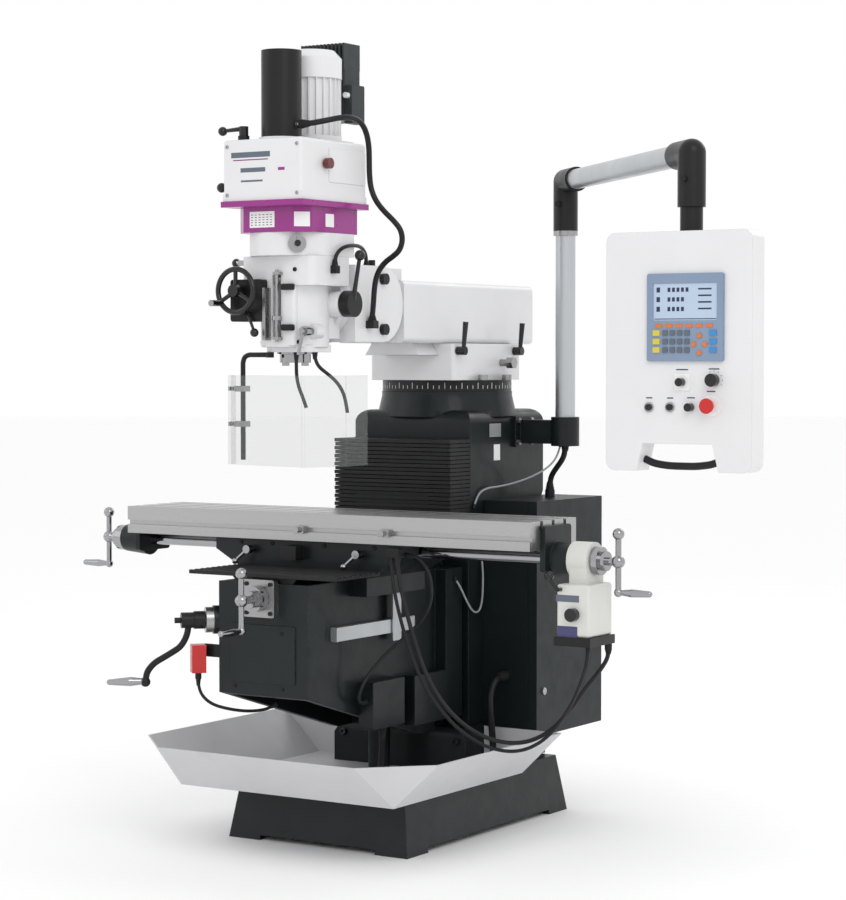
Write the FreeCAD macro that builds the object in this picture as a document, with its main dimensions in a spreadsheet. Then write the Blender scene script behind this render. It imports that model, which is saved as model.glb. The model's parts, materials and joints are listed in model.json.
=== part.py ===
import FreeCAD, Part
import math
import os
import re
import Sketcher

# Vertical turret milling machine, millimetres, +Z up.
# Origin: centre of the base casting, on the floor.  +X is the machine's right, -Y its front.

V = FreeCAD.Vector
doc = FreeCAD.newDocument("TurretMill")
sizes = doc.addObject("Spreadsheet::Sheet", "Sizes")

DIMENSIONS = {
    # base casting and chip tray
    "base_half_width": 310, "base_half_depth": 456, "base_height": 170, "base_draft": 26,
    "base_wall": 25, "foot_relief": 14, "foot_length": 110,
    "tray_half_width": 365, "tray_front": 610, "tray_rear": 85, "tray_rim_top": 300,
    "tray_rim_half_width": 500, "tray_rim_front": 760, "tray_corner": 165, "tray_sheet": 3,
    # column
    "plinth_half_width": 235, "plinth_front": 22, "plinth_top": 300,
    "column_half_width": 200, "column_front": 50, "column_back": 450, "column_wall": 22,
    "block_half_width": 205, "block_back": 487, "block_bottom": 985, "block_top": 1240,
    "block_round": 38, "seat_top": 1295, "seat_radius": 200, "turret_y": 250,
    "spigot_radius": 90, "spigot_depth": 30, "running_fit": 0.05, "slide_gap": 0.3,
    "way_front": 59.7, "way_tip": 130, "way_root": 105, "way_top": 1000,
    # electrical cabinet on the column's right side
    "cabinet_front": 130, "cabinet_back": 533, "cabinet_bottom": 272, "cabinet_top": 971,
    "cabinet_lip": 357, "door_inner": 358.5, "door_outer": 388, "panel_sheet": 2,
    # mast, swing arm and control panel
    "mast_x": 360, "mast_y": 350, "mast_bottom": 1130, "mast_top": 1780, "pipe_radius": 30,
    "pipe_wall": 3, "elbow_radius": 37, "arm_height": 1930, "arm_length": 1060,
    "panel_left": 916, "panel_right": 1338, "panel_front": 425, "panel_depth": 70,
    "panel_bottom": 1100, "panel_top": 1725, "panel_wall": 3,
    "notch_left": 1017, "notch_right": 1234, "notch_top": 1172,
    # turret saddle and ram
    "ring_top": 1330, "saddle_block_top": 1440, "saddle_block_half": 150,
    "saddle_block_front": 48, "saddle_block_back": 443,
    "ram_half_width": 118, "ram_top": 1622, "ram_front": 175.7, "ram_back": 570, "ram_wall": 20,
    "rail_depth": 35, "rail_wide": 95, "rail_narrow": 72,
    "nod_y": 285, "nod_z": 1550, "tongue_half": 70, "tongue_radius": 107, "pin_radius": 20,
    "fork_half": 115, "fork_radius": 109, "fork_front": 425, "neck_front": 449.7,
    # head
    "spindle_y": 553, "swivel_z": 1558, "flange_radius": 104, "head_front": 641,
    "head_bottom": 1412, "head_top": 1678, "head_radius": 95, "quill_radius": 52,
    "ring_radius": 122, "white_ring_top": 1742, "gear_top": 1812, "belt_bottom": 1828,
    "belt_top": 1997, "belt_half": 133, "belt_front": 710, "belt_back": 393, "belt_wall": 4,
    "drawbar_y": 617, "drawbar_radius": 56, "drawbar_top": 2245,
    "motor_y": 473, "motor_radius": 84, "motor_top": 2258,
    "quill_nose": 1407, "spindle_nose": 1383, "spindle_radius": 44, "spindle_shaft": 22,
    # knee
    "knee_half_width": 151, "knee_front": 710, "knee_back": 60, "knee_top": 776,
    "knee_front_bottom": 464, "knee_back_bottom": 300, "knee_wall": 25, "knee_roof": 19,
    "knee_rail_top": 791, "knee_rail_wide": 110, "knee_rail_narrow": 95,
    "arm_outer": 190, "arm_bottom": 335, "screw_y": 130, "lift_screw_radius": 16,
    "cross_screw_z": 735, "cross_screw_radius": 11,
    # saddle and table
    "saddle_half_width": 320, "saddle_front": 500, "saddle_back": 200, "saddle_top": 880,
    "skirt_bottom": 730, "skirt_outer": 205,
    "table_left": 635, "table_right": 737, "table_front": 517, "table_back": 263,
    "table_bottom": 880.3, "table_top": 959, "table_y": 390, "slot_pitch": 63.5,
    "slot_width": 16, "slot_neck": 14, "slot_foot": 28, "slot_foot_depth": 12,
    "table_rail_top": 897, "table_rail_wide": 76, "table_rail_narrow": 60,
    "table_screw_z": 854, "table_screw_radius": 16,
    "crank_up": 74, "crank_down": 82, "handle_length": 92,
    "left_crank_x": 812, "right_crank_x": 936,
    "feed_left": 792, "feed_right": 892, "feed_front": 470, "feed_back": 340,
    "feed_bottom": 630, "feed_top": 806,
    # transparent guard
    "guard_bottom": 1098, "guard_top": 1348, "guard_sheet": 4, "rod_x": 140, "rod_y": 610,
    "rod_radius": 7, "rod_bottom": 1110, "rod_top": 1405,
}

for row, (alias, value) in enumerate(DIMENSIONS.items(), 1):
    sizes.set("A%d" % row, alias)
    sizes.set("B%d" % row, str(value))
    sizes.setAlias("B%d" % row, alias)
doc.recompute()


def size(alias):
    """A driving dimension read back from the sheet."""
    return float(sizes.get(alias))


def formula(value):
    """Write an expression with every alias pointed at the sheet."""
    return re.sub(r"[a-z][a-z_]*", lambda word: "Sizes." + word.group(0), str(value))


def bind(thing, **properties):
    for name, value in properties.items():
        thing.setExpression(name, formula(value))


def place(thing, x, y, z):
    for axis, value in zip("xyz", (x, y, z)):
        thing.setExpression("Placement.Base." + axis, formula(value))
    return thing


TURNS = {
    "x": FreeCAD.Rotation(V(0, 1, 0), 90),
    "y": FreeCAD.Rotation(V(1, 0, 0), -90),
    "z": FreeCAD.Rotation(),
    "z_back": FreeCAD.Rotation(V(0, 0, 1), 180),
}


def block(x0, x1, y0, y1, z0, z1):
    """A box given by its limits along each axis."""
    solid = doc.addObject("Part::Box", "Block")
    bind(solid, Length="(%s)-(%s)" % (x1, x0), Width="(%s)-(%s)" % (y1, y0),
         Height="(%s)-(%s)" % (z1, z0))
    return place(solid, x0, y0, z0)


def along(axis, start, across):
    """Coordinates of a point at start along an axis, the other two in order."""
    first, second = across
    return {"x": (start, first, second), "y": (first, start, second),
            "z": (first, second, start)}[axis]


def rod(axis, radius, start, end, across):
    """A cylinder along an axis; across holds its centre on the other two axes."""
    solid = doc.addObject("Part::Cylinder", "Rod")
    solid.Placement.Rotation = TURNS[axis]
    bind(solid, Radius=radius, Height="(%s)-(%s)" % (end, start))
    return place(solid, *along(axis, start, across))


def cone(axis, first_radius, second_radius, start, end, across):
    solid = doc.addObject("Part::Cone", "Cone")
    solid.Placement.Rotation = TURNS[axis]
    bind(solid, Radius1=first_radius, Radius2=second_radius,
         Height="(%s)-(%s)" % (end, start))
    return place(solid, *along(axis, start, across))


def tube(axis, outer, inner, start, end, across):
    return cut(rod(axis, outer, start, end, across), rod(axis, inner, start, end, across))


def ring(axis, large, small, x, y, z):
    solid = doc.addObject("Part::Torus", "Ring")
    solid.Placement.Rotation = TURNS[axis]
    bind(solid, Radius1=large, Radius2=small)
    return place(solid, x, y, z)


def ball(radius, x, y, z, axis="z"):
    solid = doc.addObject("Part::Sphere", "Ball")
    solid.Placement.Rotation = TURNS[axis]
    bind(solid, Radius=radius)
    return place(solid, x, y, z)


def bar(radius, start, end, end_radius=None):
    """A straight round bar between two points, tapered if it has two radii."""
    start, end = V(*start), V(*end)
    solid = doc.addObject("Part::Cone" if end_radius else "Part::Cylinder", "Bar")
    solid.Placement = FreeCAD.Placement(start, FreeCAD.Rotation(V(0, 0, 1), end - start))
    solid.Height = (end - start).Length
    if end_radius:
        solid.Radius1 = radius
        solid.Radius2 = end_radius
    else:
        solid.Radius = radius
    return solid


def taper(low, low_z, high, high_z):
    """A draughted block: low and high are (x0, x1, y0, y1) at the two heights."""
    solid = doc.addObject("Part::Wedge", "Taper")
    solid.Placement.Rotation = FreeCAD.Rotation(V(1, 0, 0), 90)
    bind(solid, Xmin=low[0], Xmax=low[1], Zmin="-(%s)" % low[3], Zmax="-(%s)" % low[2],
         X2min=high[0], X2max=high[1], Z2min="-(%s)" % high[3], Z2max="-(%s)" % high[2],
         Ymin=low_z, Ymax=high_z)
    return solid


def fuse(*solids):
    if len(solids) == 1:
        return solids[0]
    whole = doc.addObject("Part::MultiFuse", "Fuse")
    whole.Shapes = list(solids)
    whole.Refine = True
    return whole


def cut(solid, *tools):
    result = doc.addObject("Part::Cut", "Cut")
    result.Base = solid
    result.Tool = fuse(*tools)
    return result


def common(first, second):
    result = doc.addObject("Part::Common", "Common")
    result.Base = first
    result.Tool = second
    return result


def group(*solids):
    """Separate solids that share one node."""
    bundle = doc.addObject("Part::Compound", "Group")
    bundle.Links = list(solids)
    return bundle


def rounded(solid, radius, along_axes="xyz"):
    """Round a box's edges that run along the named axes."""
    doc.recompute()
    result = doc.addObject("Part::Fillet", "Rounded")
    result.Base = solid
    wanted = [V(axis == "x", axis == "y", axis == "z") for axis in along_axes]
    picked = []
    for index, edge in enumerate(solid.Shape.Edges, 1):
        if edge.Curve.TypeId != "Part::GeomLine":
            continue
        direction = edge.Curve.Direction
        if any(abs(direction.dot(axis)) > 0.999 for axis in wanted):
            picked.append((index, radius, radius))
    result.Edges = picked
    return result


PLANES = {"z": "XY_Plane", "y": "XZ_Plane", "x": "YZ_Plane"}


def profile(axis, points, start, end):
    """Pad a closed outline along an axis, from start to end.

    The outline's points are on the other two axes, in order x, y, z.
    """
    body = doc.addObject("PartDesign::Body", "Profile")
    sketch = body.newObject("Sketcher::SketchObject", "Outline")
    plane = [feature for feature in body.Origin.OriginFeatures if feature.Role == PLANES[axis]]
    sketch.AttachmentSupport = [(plane[0], "")]
    sketch.MapMode = "FlatFace"
    corners = [(value_of(first), value_of(second)) for first, second in points]
    count = len(corners)
    for index, corner in enumerate(corners):
        following = corners[(index + 1) % count]
        sketch.addGeometry(Part.LineSegment(V(*corner, 0), V(*following, 0)))
    for index in range(count):
        sketch.addConstraint(Sketcher.Constraint("Coincident", index, 2, (index + 1) % count, 1))
    for index, (texts, corner) in enumerate(zip(points, corners)):
        for kind, text, value in zip(("DistanceX", "DistanceY"), texts, corner):
            number = sketch.addConstraint(Sketcher.Constraint(kind, index, 1, value))
            sketch.setExpression("Constraints[%d]" % number, formula(text))
    pad = body.newObject("PartDesign::Pad", "Pad")
    pad.Profile = sketch
    bind(pad, Length="(%s)-(%s)" % (end, start))
    if axis == "y":
        pad.Reversed = True
    body.setExpression("Placement.Base." + axis, formula(start))
    return body


def value_of(text):
    return float(sizes.evalExpression(formula(text)))


def mirrored_points(points):
    """The outline of points with x above zero, closed by its mirror image across x = 0."""
    return points + [("-(%s)" % x, other) for x, other in reversed(points)]


def hose_path(points):
    """Straight runs joined by tangent arcs as large as the two runs allow."""
    points = [V(*point) for point in points]
    edges, radii = [], []
    begin = points[0]
    for before, corner, after in zip(points, points[1:], points[2:]):
        back, ahead = before - corner, after - corner
        turn = math.pi - back.getAngle(ahead)
        reach = 0.45 * min(back.Length, ahead.Length)
        radii.append(reach / math.tan(turn / 2))
        entry = corner + back.normalize() * reach
        leave = corner + ahead.normalize() * reach
        inward = (entry + leave) * 0.5 - corner
        depth = radii[-1] / math.cos(turn / 2) - radii[-1]
        middle = corner + inward.normalize() * depth
        edges.append(Part.LineSegment(begin, entry).toShape())
        edges.append(Part.Arc(entry, middle, leave).toShape())
        begin = leave
    edges.append(Part.LineSegment(begin, points[-1]).toShape())
    return Part.Wire(edges), radii


def hose(name, points, diameter):
    """A round cord, cable or conduit laid along hand-chosen route points."""
    path, radii = hose_path(points)
    first = path.Edges[0]
    circle = Part.Circle(first.valueAt(first.FirstParameter),
                         first.tangentAt(first.FirstParameter), diameter / 2)
    cord = doc.addObject("Part::Feature", name)
    cord.Shape = path.makePipeShell([Part.Wire(circle.toShape())], True, False)
    expected = math.pi * diameter ** 2 / 4 * path.Length
    print("%s: length %.0f, smallest radius %.0f (%.1f diameters), volume ratio %.4f" % (
        name, path.Length, min(radii), min(radii) / diameter, cord.Shape.Volume / expected))
    return cord


NODES = {}


def node(name, thing):
    """Give a finished sub-part its label, which names its file."""
    thing.Label = name
    NODES[name] = thing
    return thing


# ---------------------------------------------------------------- base, tray and column

def base_casting():
    shell = cut(
        taper(("-base_half_width", "base_half_width", "-base_half_depth", "base_half_depth"),
              "0",
              ("-base_half_width+base_draft", "base_half_width-base_draft",
               "-base_half_depth+base_draft", "base_half_depth-base_draft"), "base_height"),
        taper(("-base_half_width+base_wall", "base_half_width-base_wall",
               "-base_half_depth+base_wall", "base_half_depth-base_wall"), "-1",
              ("-base_half_width+base_wall+base_draft", "base_half_width-base_wall-base_draft",
               "-base_half_depth+base_wall+base_draft",
               "base_half_depth-base_wall-base_draft"), "base_height-base_wall"),
        block("-base_half_width+foot_length", "base_half_width-foot_length",
              "-base_half_depth-1", "base_half_depth+1", "-1", "foot_relief"),
        block("-base_half_width-1", "base_half_width+1", "-base_half_depth+foot_length",
              "base_half_depth-foot_length", "-1", "foot_relief"),
        rod("z", 24, 0, "base_height+1", (0, "-screw_y")))
    rib = block(-40, 40, -30, 40, 0, "base_height-base_wall/2")
    pedestal = tube("z", 32, "lift_screw_radius+running_fit", "base_height", 430,
                    (0, "-screw_y"))
    node("base_casting", group(fuse(shell, rib), pedestal))


def tub(half_width, front, bottom, rim_half, rim_front, rim, corner, rear):
    """A flared tub with a flat bottom and triangular front corners."""
    low = [V(-half_width, rear, bottom), V(-half_width, -front, bottom),
           V(half_width, -front, bottom), V(half_width, rear, bottom)]
    high = [V(-rim_half, rear, rim), V(-rim_half, -rim_front + corner, rim),
            V(-rim_half + corner, -rim_front, rim), V(rim_half - corner, -rim_front, rim),
            V(rim_half, -rim_front + corner, rim), V(rim_half, rear, rim)]
    outlines = [low, high, [low[0], low[1], high[1], high[0]], [low[1], high[2], high[1]],
                [low[1], low[2], high[3], high[2]], [low[2], high[4], high[3]],
                [low[2], low[3], high[5], high[4]], [low[3], low[0], high[0], high[5]]]
    faces = [Part.Face(Part.makePolygon(points + points[:1])) for points in outlines]
    solid = Part.Solid(Part.Shell(faces))
    if solid.Volume < 0:
        solid.reverse()
    return solid


def chip_tray():
    sheet = size("tray_sheet")
    bottom, rim = size("base_height"), size("tray_rim_top")
    half, front = size("tray_half_width"), size("tray_front")
    rim_half, rim_front = size("tray_rim_half_width"), size("tray_rim_front")
    slope_x = (rim_half - half) / (rim - bottom)
    slope_y = (rim_front - front) / (rim - bottom)
    side = sheet * math.hypot(1, slope_x) - sheet * slope_x
    nose = sheet * math.hypot(1, slope_y) - sheet * slope_y
    over = 1.0
    outer = tub(half, front, bottom, rim_half, rim_front, rim, size("tray_corner"),
                size("tray_rear"))
    side_shift, nose_shift = slope_x * (sheet + over), slope_y * (sheet + over)
    inner = tub(half - side, front - nose, bottom + sheet,
                rim_half - side - slope_x * sheet + slope_x * over,
                rim_front - nose - slope_y * sheet + slope_y * over, rim + over,
                size("tray_corner") - 0.5 * (side_shift + nose_shift) + 0.5 * sheet * 2.3,
                size("tray_rear") - sheet)
    tub_feature = doc.addObject("Part::Feature", "TrayTub")
    tub_feature.Shape = outer.cut(inner)
    pan = cut(tub_feature,
              block("-plinth_half_width-slide_gap", "plinth_half_width+slide_gap",
                    "-plinth_front-slide_gap", "tray_rear+1", "base_height-1",
                    "tray_rim_top+1"),
              rod("z", 33, "base_height-1", "base_height+tray_sheet+1", (0, "-screw_y")))
    node("chip_tray", pan)


def column_casting():
    lower = fuse(
        block("-plinth_half_width", "plinth_half_width", "-plinth_front", "column_back",
              "base_height", "plinth_top-40"),
        taper(("-plinth_half_width", "plinth_half_width", "-plinth_front", "column_back"),
              "plinth_top-40",
              ("-column_half_width-12", "column_half_width+12", "-plinth_front+12",
               "column_back"), "plinth_top"),
        block("-column_half_width", "column_half_width", "column_front", "column_back",
              "plinth_top", "block_bottom"),
        taper(("-column_half_width", "column_half_width", "column_front", "column_back"),
              "block_bottom-70",
              ("-block_half_width", "block_half_width", "column_front", "block_back"),
              "block_bottom"))
    upper = rounded(block("-block_half_width", "block_half_width", "column_front",
                          "block_back", "block_bottom", "block_top"),
                    size("block_round"), "xy")
    squared = block("-block_half_width", "block_half_width", "column_front", "block_back",
                    "block_bottom", "block_bottom+block_round*2")
    neck = cone("z", "seat_radius+14", "seat_radius", "block_top-20", "seat_top-12",
                (0, "turret_y"))
    seat = rod("z", "seat_radius", "seat_top-12", "seat_top", (0, "turret_y"))
    way = profile("z", mirrored_points([("way_root", "column_front"),
                                        ("way_tip", "-way_front")]),
                  "plinth_top", "way_top")
    hollow = block("-column_half_width+column_wall", "column_half_width-column_wall",
                   "column_front+column_wall", "column_back-column_wall",
                   "base_height-1", "block_top-column_wall-20")
    bore = rod("z", "spigot_radius+running_fit", "block_top-column_wall-21", "seat_top+1",
               (0, "turret_y"))
    recess = block("column_half_width", "plinth_half_width+1", "cabinet_front-slide_gap",
                   "column_back+1", "cabinet_bottom-slide_gap", "plinth_top+1")
    node("column_casting",
         cut(fuse(lower, squared, upper, neck, seat, way), hollow, bore, recess))


# ---------------------------------------------------------------- electrical cabinet

HINGE_HEIGHTS = (400, 840)


def electrical_cabinet():
    shell = cut(
        block("column_half_width", "cabinet_lip", "cabinet_front", "cabinet_back",
              "cabinet_bottom", "cabinet_top"),
        block("column_half_width+panel_sheet", "cabinet_lip+1",
              "cabinet_front+panel_sheet", "cabinet_back-panel_sheet",
              "cabinet_bottom+panel_sheet", "cabinet_top-panel_sheet"))
    relief = block("column_half_width-1", "block_half_width", "cabinet_front-1",
                   "block_back+1", "block_bottom-72", "cabinet_top+1")
    fittings = [rod("z", 15, "cabinet_top", "cabinet_top+22", (292, 377)),
                rod("y", 17, "cabinet_front-14", "cabinet_front", (285, 450))]
    for height in HINGE_HEIGHTS:
        fittings.append(rod("z", 2.5, height - 24, height + 24, ("door_inner", "cabinet_back+6")))
        for low in (height - 24, height + 16):
            fittings.append(block("cabinet_lip-7", "door_inner+2", "cabinet_back",
                                  "cabinet_back+8", low, low + 8))
    trim = [block("door_inner-1", "door_inner+3", "cabinet_back-3", "cabinet_back+0.5",
                  height - 30, height + 30) for height in HINGE_HEIGHTS]
    node("electrical_cabinet", cut(fuse(cut(shell, relief), *fittings), *trim))


def cabinet_door():
    lid = cut(
        block("door_inner", "door_outer", "cabinet_front", "cabinet_back",
              "cabinet_bottom", "cabinet_top"),
        block("door_inner-1", "door_outer-panel_sheet", "cabinet_front+panel_sheet",
              "cabinet_back-panel_sheet", "cabinet_bottom+panel_sheet",
              "cabinet_top-panel_sheet"))
    lock = rod("x", 11, "door_outer-panel_sheet", "door_outer+5", ("cabinet_front+41", 405))
    knuckles, bores = [], []
    for height in HINGE_HEIGHTS:
        centre = ("door_inner", "cabinet_back+6")
        knuckles.append(rod("z", 5, height - 15, height + 15, centre))
        knuckles.append(block("door_inner+1.5", "door_inner+5", "cabinet_back-1",
                              "cabinet_back+6", height - 15, height + 15))
        bores.append(rod("z", "2.5+running_fit", height - 16, height + 16, centre))
    node("cabinet_door", cut(fuse(lid, lock, *knuckles), *bores))


# ---------------------------------------------------------------- mast, arm and panel

ARM_TURN = 42.8


def arm_point(distance, height):
    """A point on the swing arm's centre line, measured from the mast."""
    turn = math.radians(ARM_TURN)
    return (size("mast_x") + distance * math.cos(turn),
            size("mast_y") - distance * math.sin(turn), height)


def mast_post():
    centre = ("mast_x", "mast_y")
    bracket = fuse(
        rounded(block("block_half_width", "block_half_width+12", "mast_y-52", "mast_y+52",
                      "mast_bottom-5", "mast_bottom+89"), 8, "x"),
        block("block_half_width+12", "mast_x-20", "mast_y-24", "mast_y+24",
              "mast_bottom+6", "mast_bottom+78"),
        rod("z", "pipe_radius+13", "mast_bottom", "mast_bottom+88", centre))
    socket = rod("z", "pipe_radius", "mast_bottom-1", "mast_bottom+89", centre)
    bolts = [rod("x", 8, "block_half_width+12", "block_half_width+20", (y, z))
             for y in ("mast_y-38", "mast_y+38") for z in ("mast_bottom+10", "mast_bottom+76")]
    pipe = tube("z", "pipe_radius", "pipe_radius-pipe_wall", "mast_bottom+10", "mast_top-14",
                centre)
    collar = tube("z", "elbow_radius", "pipe_radius-pipe_wall", "mast_top-14", "mast_top",
                  centre)
    node("mast_post", group(cut(bracket, socket), pipe, collar, *bolts))


def elbow(x, y, top_is_socket, bottom):
    """A round elbow between an upright bore and the horizontal arm."""
    radius = size("elbow_radius")
    height = size("arm_height")
    knee_ball = ball("elbow_radius", x, y, "arm_height")
    upright = rod("z", "elbow_radius", bottom, "arm_height", (x, y))
    near = arm_point(0 if top_is_socket else size("arm_length"), height)
    far = arm_point(105 if top_is_socket else size("arm_length") - 105, height)
    sideways = bar(radius, near, far)
    screw = bar(8, (near[0], near[1] - radius + 2, height - 70),
                (near[0], near[1] - radius - 16, height - 70))
    return fuse(knee_ball, upright, sideways, screw)


def mast_arm():
    height = size("arm_height")
    first = elbow("mast_x", "mast_y", True, "mast_top+slide_gap")
    end_x, end_y, _ = arm_point(size("arm_length"), height)
    second = elbow(end_x, end_y, False, "panel_top+64")
    pipe = cut(bar(size("pipe_radius"), arm_point(105, height),
                   arm_point(size("arm_length") - 105, height)),
               bar(size("pipe_radius") - size("pipe_wall"), arm_point(104, height),
                   arm_point(size("arm_length") - 104, height)))
    node("mast_arm", group(first, pipe, second))


def panel_x():
    return arm_point(size("arm_length"), 0)[0]


def panel_y():
    return arm_point(size("arm_length"), 0)[1]


READOUT = {"left": 1041, "right": 1260, "bottom": 1387, "top": 1615}
BUTTONS = {"start_button": (1044, 1267), "stop_button": (1105, 1267.6)}
DIALS = {"direction_switch": (1139.5, 1333), "spindle_speed_knob": (1231, 1338.5),
         "mode_selector": (1165.5, 1268)}
STOP_PLACE = (1222.6, 1272)


def control_panel():
    back = "-panel_front+panel_depth"
    outer = rounded(block("panel_left", "panel_right", "-panel_front", back,
                          "panel_bottom", "panel_top"), 26, "y")
    inner = rounded(block("panel_left+panel_wall", "panel_right-panel_wall",
                          "-panel_front+panel_wall", back + "-panel_wall",
                          "panel_bottom+panel_wall", "panel_top-panel_wall"), 23, "y")
    notch = profile("y", [("notch_left-10", "panel_bottom-1"), ("notch_left+8", "notch_top"),
                          ("notch_right-8", "notch_top"), ("notch_right+10", "panel_bottom-1")],
                    "-panel_front-1", back + "+1")
    liner = profile("y", [("notch_left-14", "panel_bottom"),
                          ("notch_left+4", "notch_top+4"),
                          ("notch_right-4", "notch_top+4"),
                          ("notch_right+14", "panel_bottom")],
                    "-panel_front+panel_wall", back + "-panel_wall")
    window = block(READOUT["left"] + 6, READOUT["right"] - 6, "-panel_front-1",
                   "-panel_front+panel_wall+1", READOUT["bottom"] + 6, READOUT["top"] - 6)
    holes = [rod("y", 8.5, "-panel_front-1", "-panel_front+panel_wall+1", spot)
             for spot in list(BUTTONS.values()) + list(DIALS.values()) + [STOP_PLACE]]
    shell = cut(fuse(cut(outer, inner), liner), notch, window, *holes)
    neck = tube("z", 30, 18, "panel_top", "panel_top+64-slide_gap", (panel_x(), panel_y()))
    grip_y = size("panel_depth") / 2 - size("panel_front")
    left, right = size("notch_left") - 2, size("notch_right") + 2
    low = size("panel_bottom") + 16
    grip = hose("PanelGrip", [(left, grip_y, low + 14), (left + 26, grip_y, low + 3),
                              (left + 70, grip_y, low - 3), (right - 70, grip_y, low - 3),
                              (right - 26, grip_y, low + 3), (right, grip_y, low + 14)], 20)
    NODES["control_panel_housing"] = [cut(shell, grip_copy(grip)), neck, grip]


def grip_copy(grip):
    """The grip's own seat in the housing's side walls."""
    seat = doc.addObject("Part::Feature", "GripSeat")
    seat.Shape = grip.Shape.copy()
    return seat


def readout_unit():
    left, right = READOUT["left"], READOUT["right"]
    bottom, top = READOUT["bottom"], READOUT["top"]
    bezel = rounded(block(left, right, "-panel_front-9", "-panel_front", bottom, top), 6, "y")
    recess = block(left + 18, right - 18, "-panel_front-10", "-panel_front-6",
                   bottom + 106, top - 26)
    works = block(left + 8, right - 8, "-panel_front", "-panel_front+48", bottom + 8, top - 8)
    screen = block(left + 18, right - 18, "-panel_front-6.8", "-panel_front-6",
                   bottom + 106, top - 26)
    keys = []
    for line in range(3):
        for place_in_line in range(4):
            x = left + 46 + place_in_line * 21
            z = bottom + 22 + line * 22
            keys.append(rounded(block(x, x + 15, "-panel_front-11.5", "-panel_front-9",
                                      z, z + 15), 2, "y"))
        for x in (left + 18, right - 38):
            z = bottom + 22 + line * 22
            keys.append(rounded(block(x, x + 20, "-panel_front-11.5", "-panel_front-9",
                                      z, z + 15), 2, "y"))
    for x, z in ((152, 66), (152, 22), (136, 44), (168, 44)):
        keys.append(rod("y", 7, "-panel_front-11.5", "-panel_front-9",
                        (left + x, bottom + z)))
    node("readout_unit", group(cut(fuse(bezel, works), recess), screen, *keys))


def panel_controls():
    face = "-panel_front"
    collars = [tube("y", 13, 8.6, face + "-4", face, spot) for spot in BUTTONS.values()]
    for name, (x, z) in BUTTONS.items():
        node(name, rod("y", 8.2, face + "-9", face + "+16", (x, z)))
    for name, (x, z) in DIALS.items():
        radius = 17 if name == "spindle_speed_knob" else 11
        knob = fuse(rod("y", radius, face + "-22", face + "-4", (x, z)),
                    rod("y", 6, face + "-4", face + "+18", (x, z)),
                    block(x - 1.5, x + 1.5, face + "-23", face + "-20", z, z + radius))
        node(name, knob)
    x, z = STOP_PLACE
    node("emergency_stop", fuse(
        cone("y", 20, 18, face + "-30", face + "-20", (x, z)),
        rod("y", 8.2, face + "-20", face + "+18", (x, z))))
    ring_plate = tube("y", 28, 8.6, face + "-2", face, (x, z))
    backing = rounded(block(1118, 1162, face + "-2", face, 1311, 1355), 3, "y")
    backing = cut(backing, rod("y", 8.6, face + "-3", face + "+1", DIALS["direction_switch"]))
    housing = NODES.pop("control_panel_housing")
    node("control_panel_housing", group(*housing, backing, ring_plate, *collars))


# ---------------------------------------------------------------- turret and ram

def ram_rail(inflate):
    """The ram's dovetail, which the turret saddle holds."""
    return profile("y", mirrored_points([
        ("rail_wide+%s" % inflate, "saddle_block_top-rail_depth-%s" % inflate),
        ("rail_narrow+%s" % inflate, "saddle_block_top+slide_gap")]),
        "saddle_block_front-(%s)*400" % inflate if inflate else "-60",
        "saddle_block_back+(%s)*400" % inflate if inflate else "540")


def turret_saddle():
    centre = (0, "turret_y")
    graduated = fuse(rod("z", "seat_radius-2", "seat_top+slide_gap", "ring_top", centre),
                     rod("z", "spigot_radius", "seat_top-spigot_depth",
                         "seat_top+slide_gap+2", centre))
    body = rounded(block("-saddle_block_half", "saddle_block_half", "saddle_block_front",
                         "saddle_block_back", "ring_top", "saddle_block_top"), 14, "z")
    slot = ram_rail("slide_gap")
    shaft_bores = [rod("x", "9+running_fit", "saddle_block_half-40", "saddle_block_half+1",
                       spot) for spot in LOCK_PLACES]
    shaft_bores.append(rod("x", "11+running_fit", 60, "saddle_block_half+1", FEED_PLACE))
    nuts = [rod("z", 15, "ring_top", "ring_top+16", (x, y))
            for x in (-172, 172) for y in (180, 320)]
    node("turret_saddle", group(graduated, cut(body, slot, *shaft_bores), *nuts))


LOCK_PLACES = ((66, 1418), (400, 1418))
FEED_PLACE = (322, 1382)


def turret_levers():
    for name, (y, z) in zip(("ram_lock_lever_front", "ram_lock_lever_rear"), LOCK_PLACES):
        node(name, fuse(
            rod("x", 9, "saddle_block_half-38", "saddle_block_half+20", (y, z)),
            rod("x", 13, "saddle_block_half+2", "saddle_block_half+30", (y, z)),
            bar(6, (size("saddle_block_half") + 22, y, z),
                (size("saddle_block_half") + 30, y, z + 86), 8.5)))
    y, z = FEED_PLACE
    hexagon = [(y + 19 * math.cos(math.radians(60 * side)),
                z + 19 * math.sin(math.radians(60 * side))) for side in range(6)]
    node("ram_feed_knob", fuse(
        rod("x", 11, 62, "saddle_block_half+26", (y, z)),
        profile("x", hexagon, "saddle_block_half+26", "saddle_block_half+48")))


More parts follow.
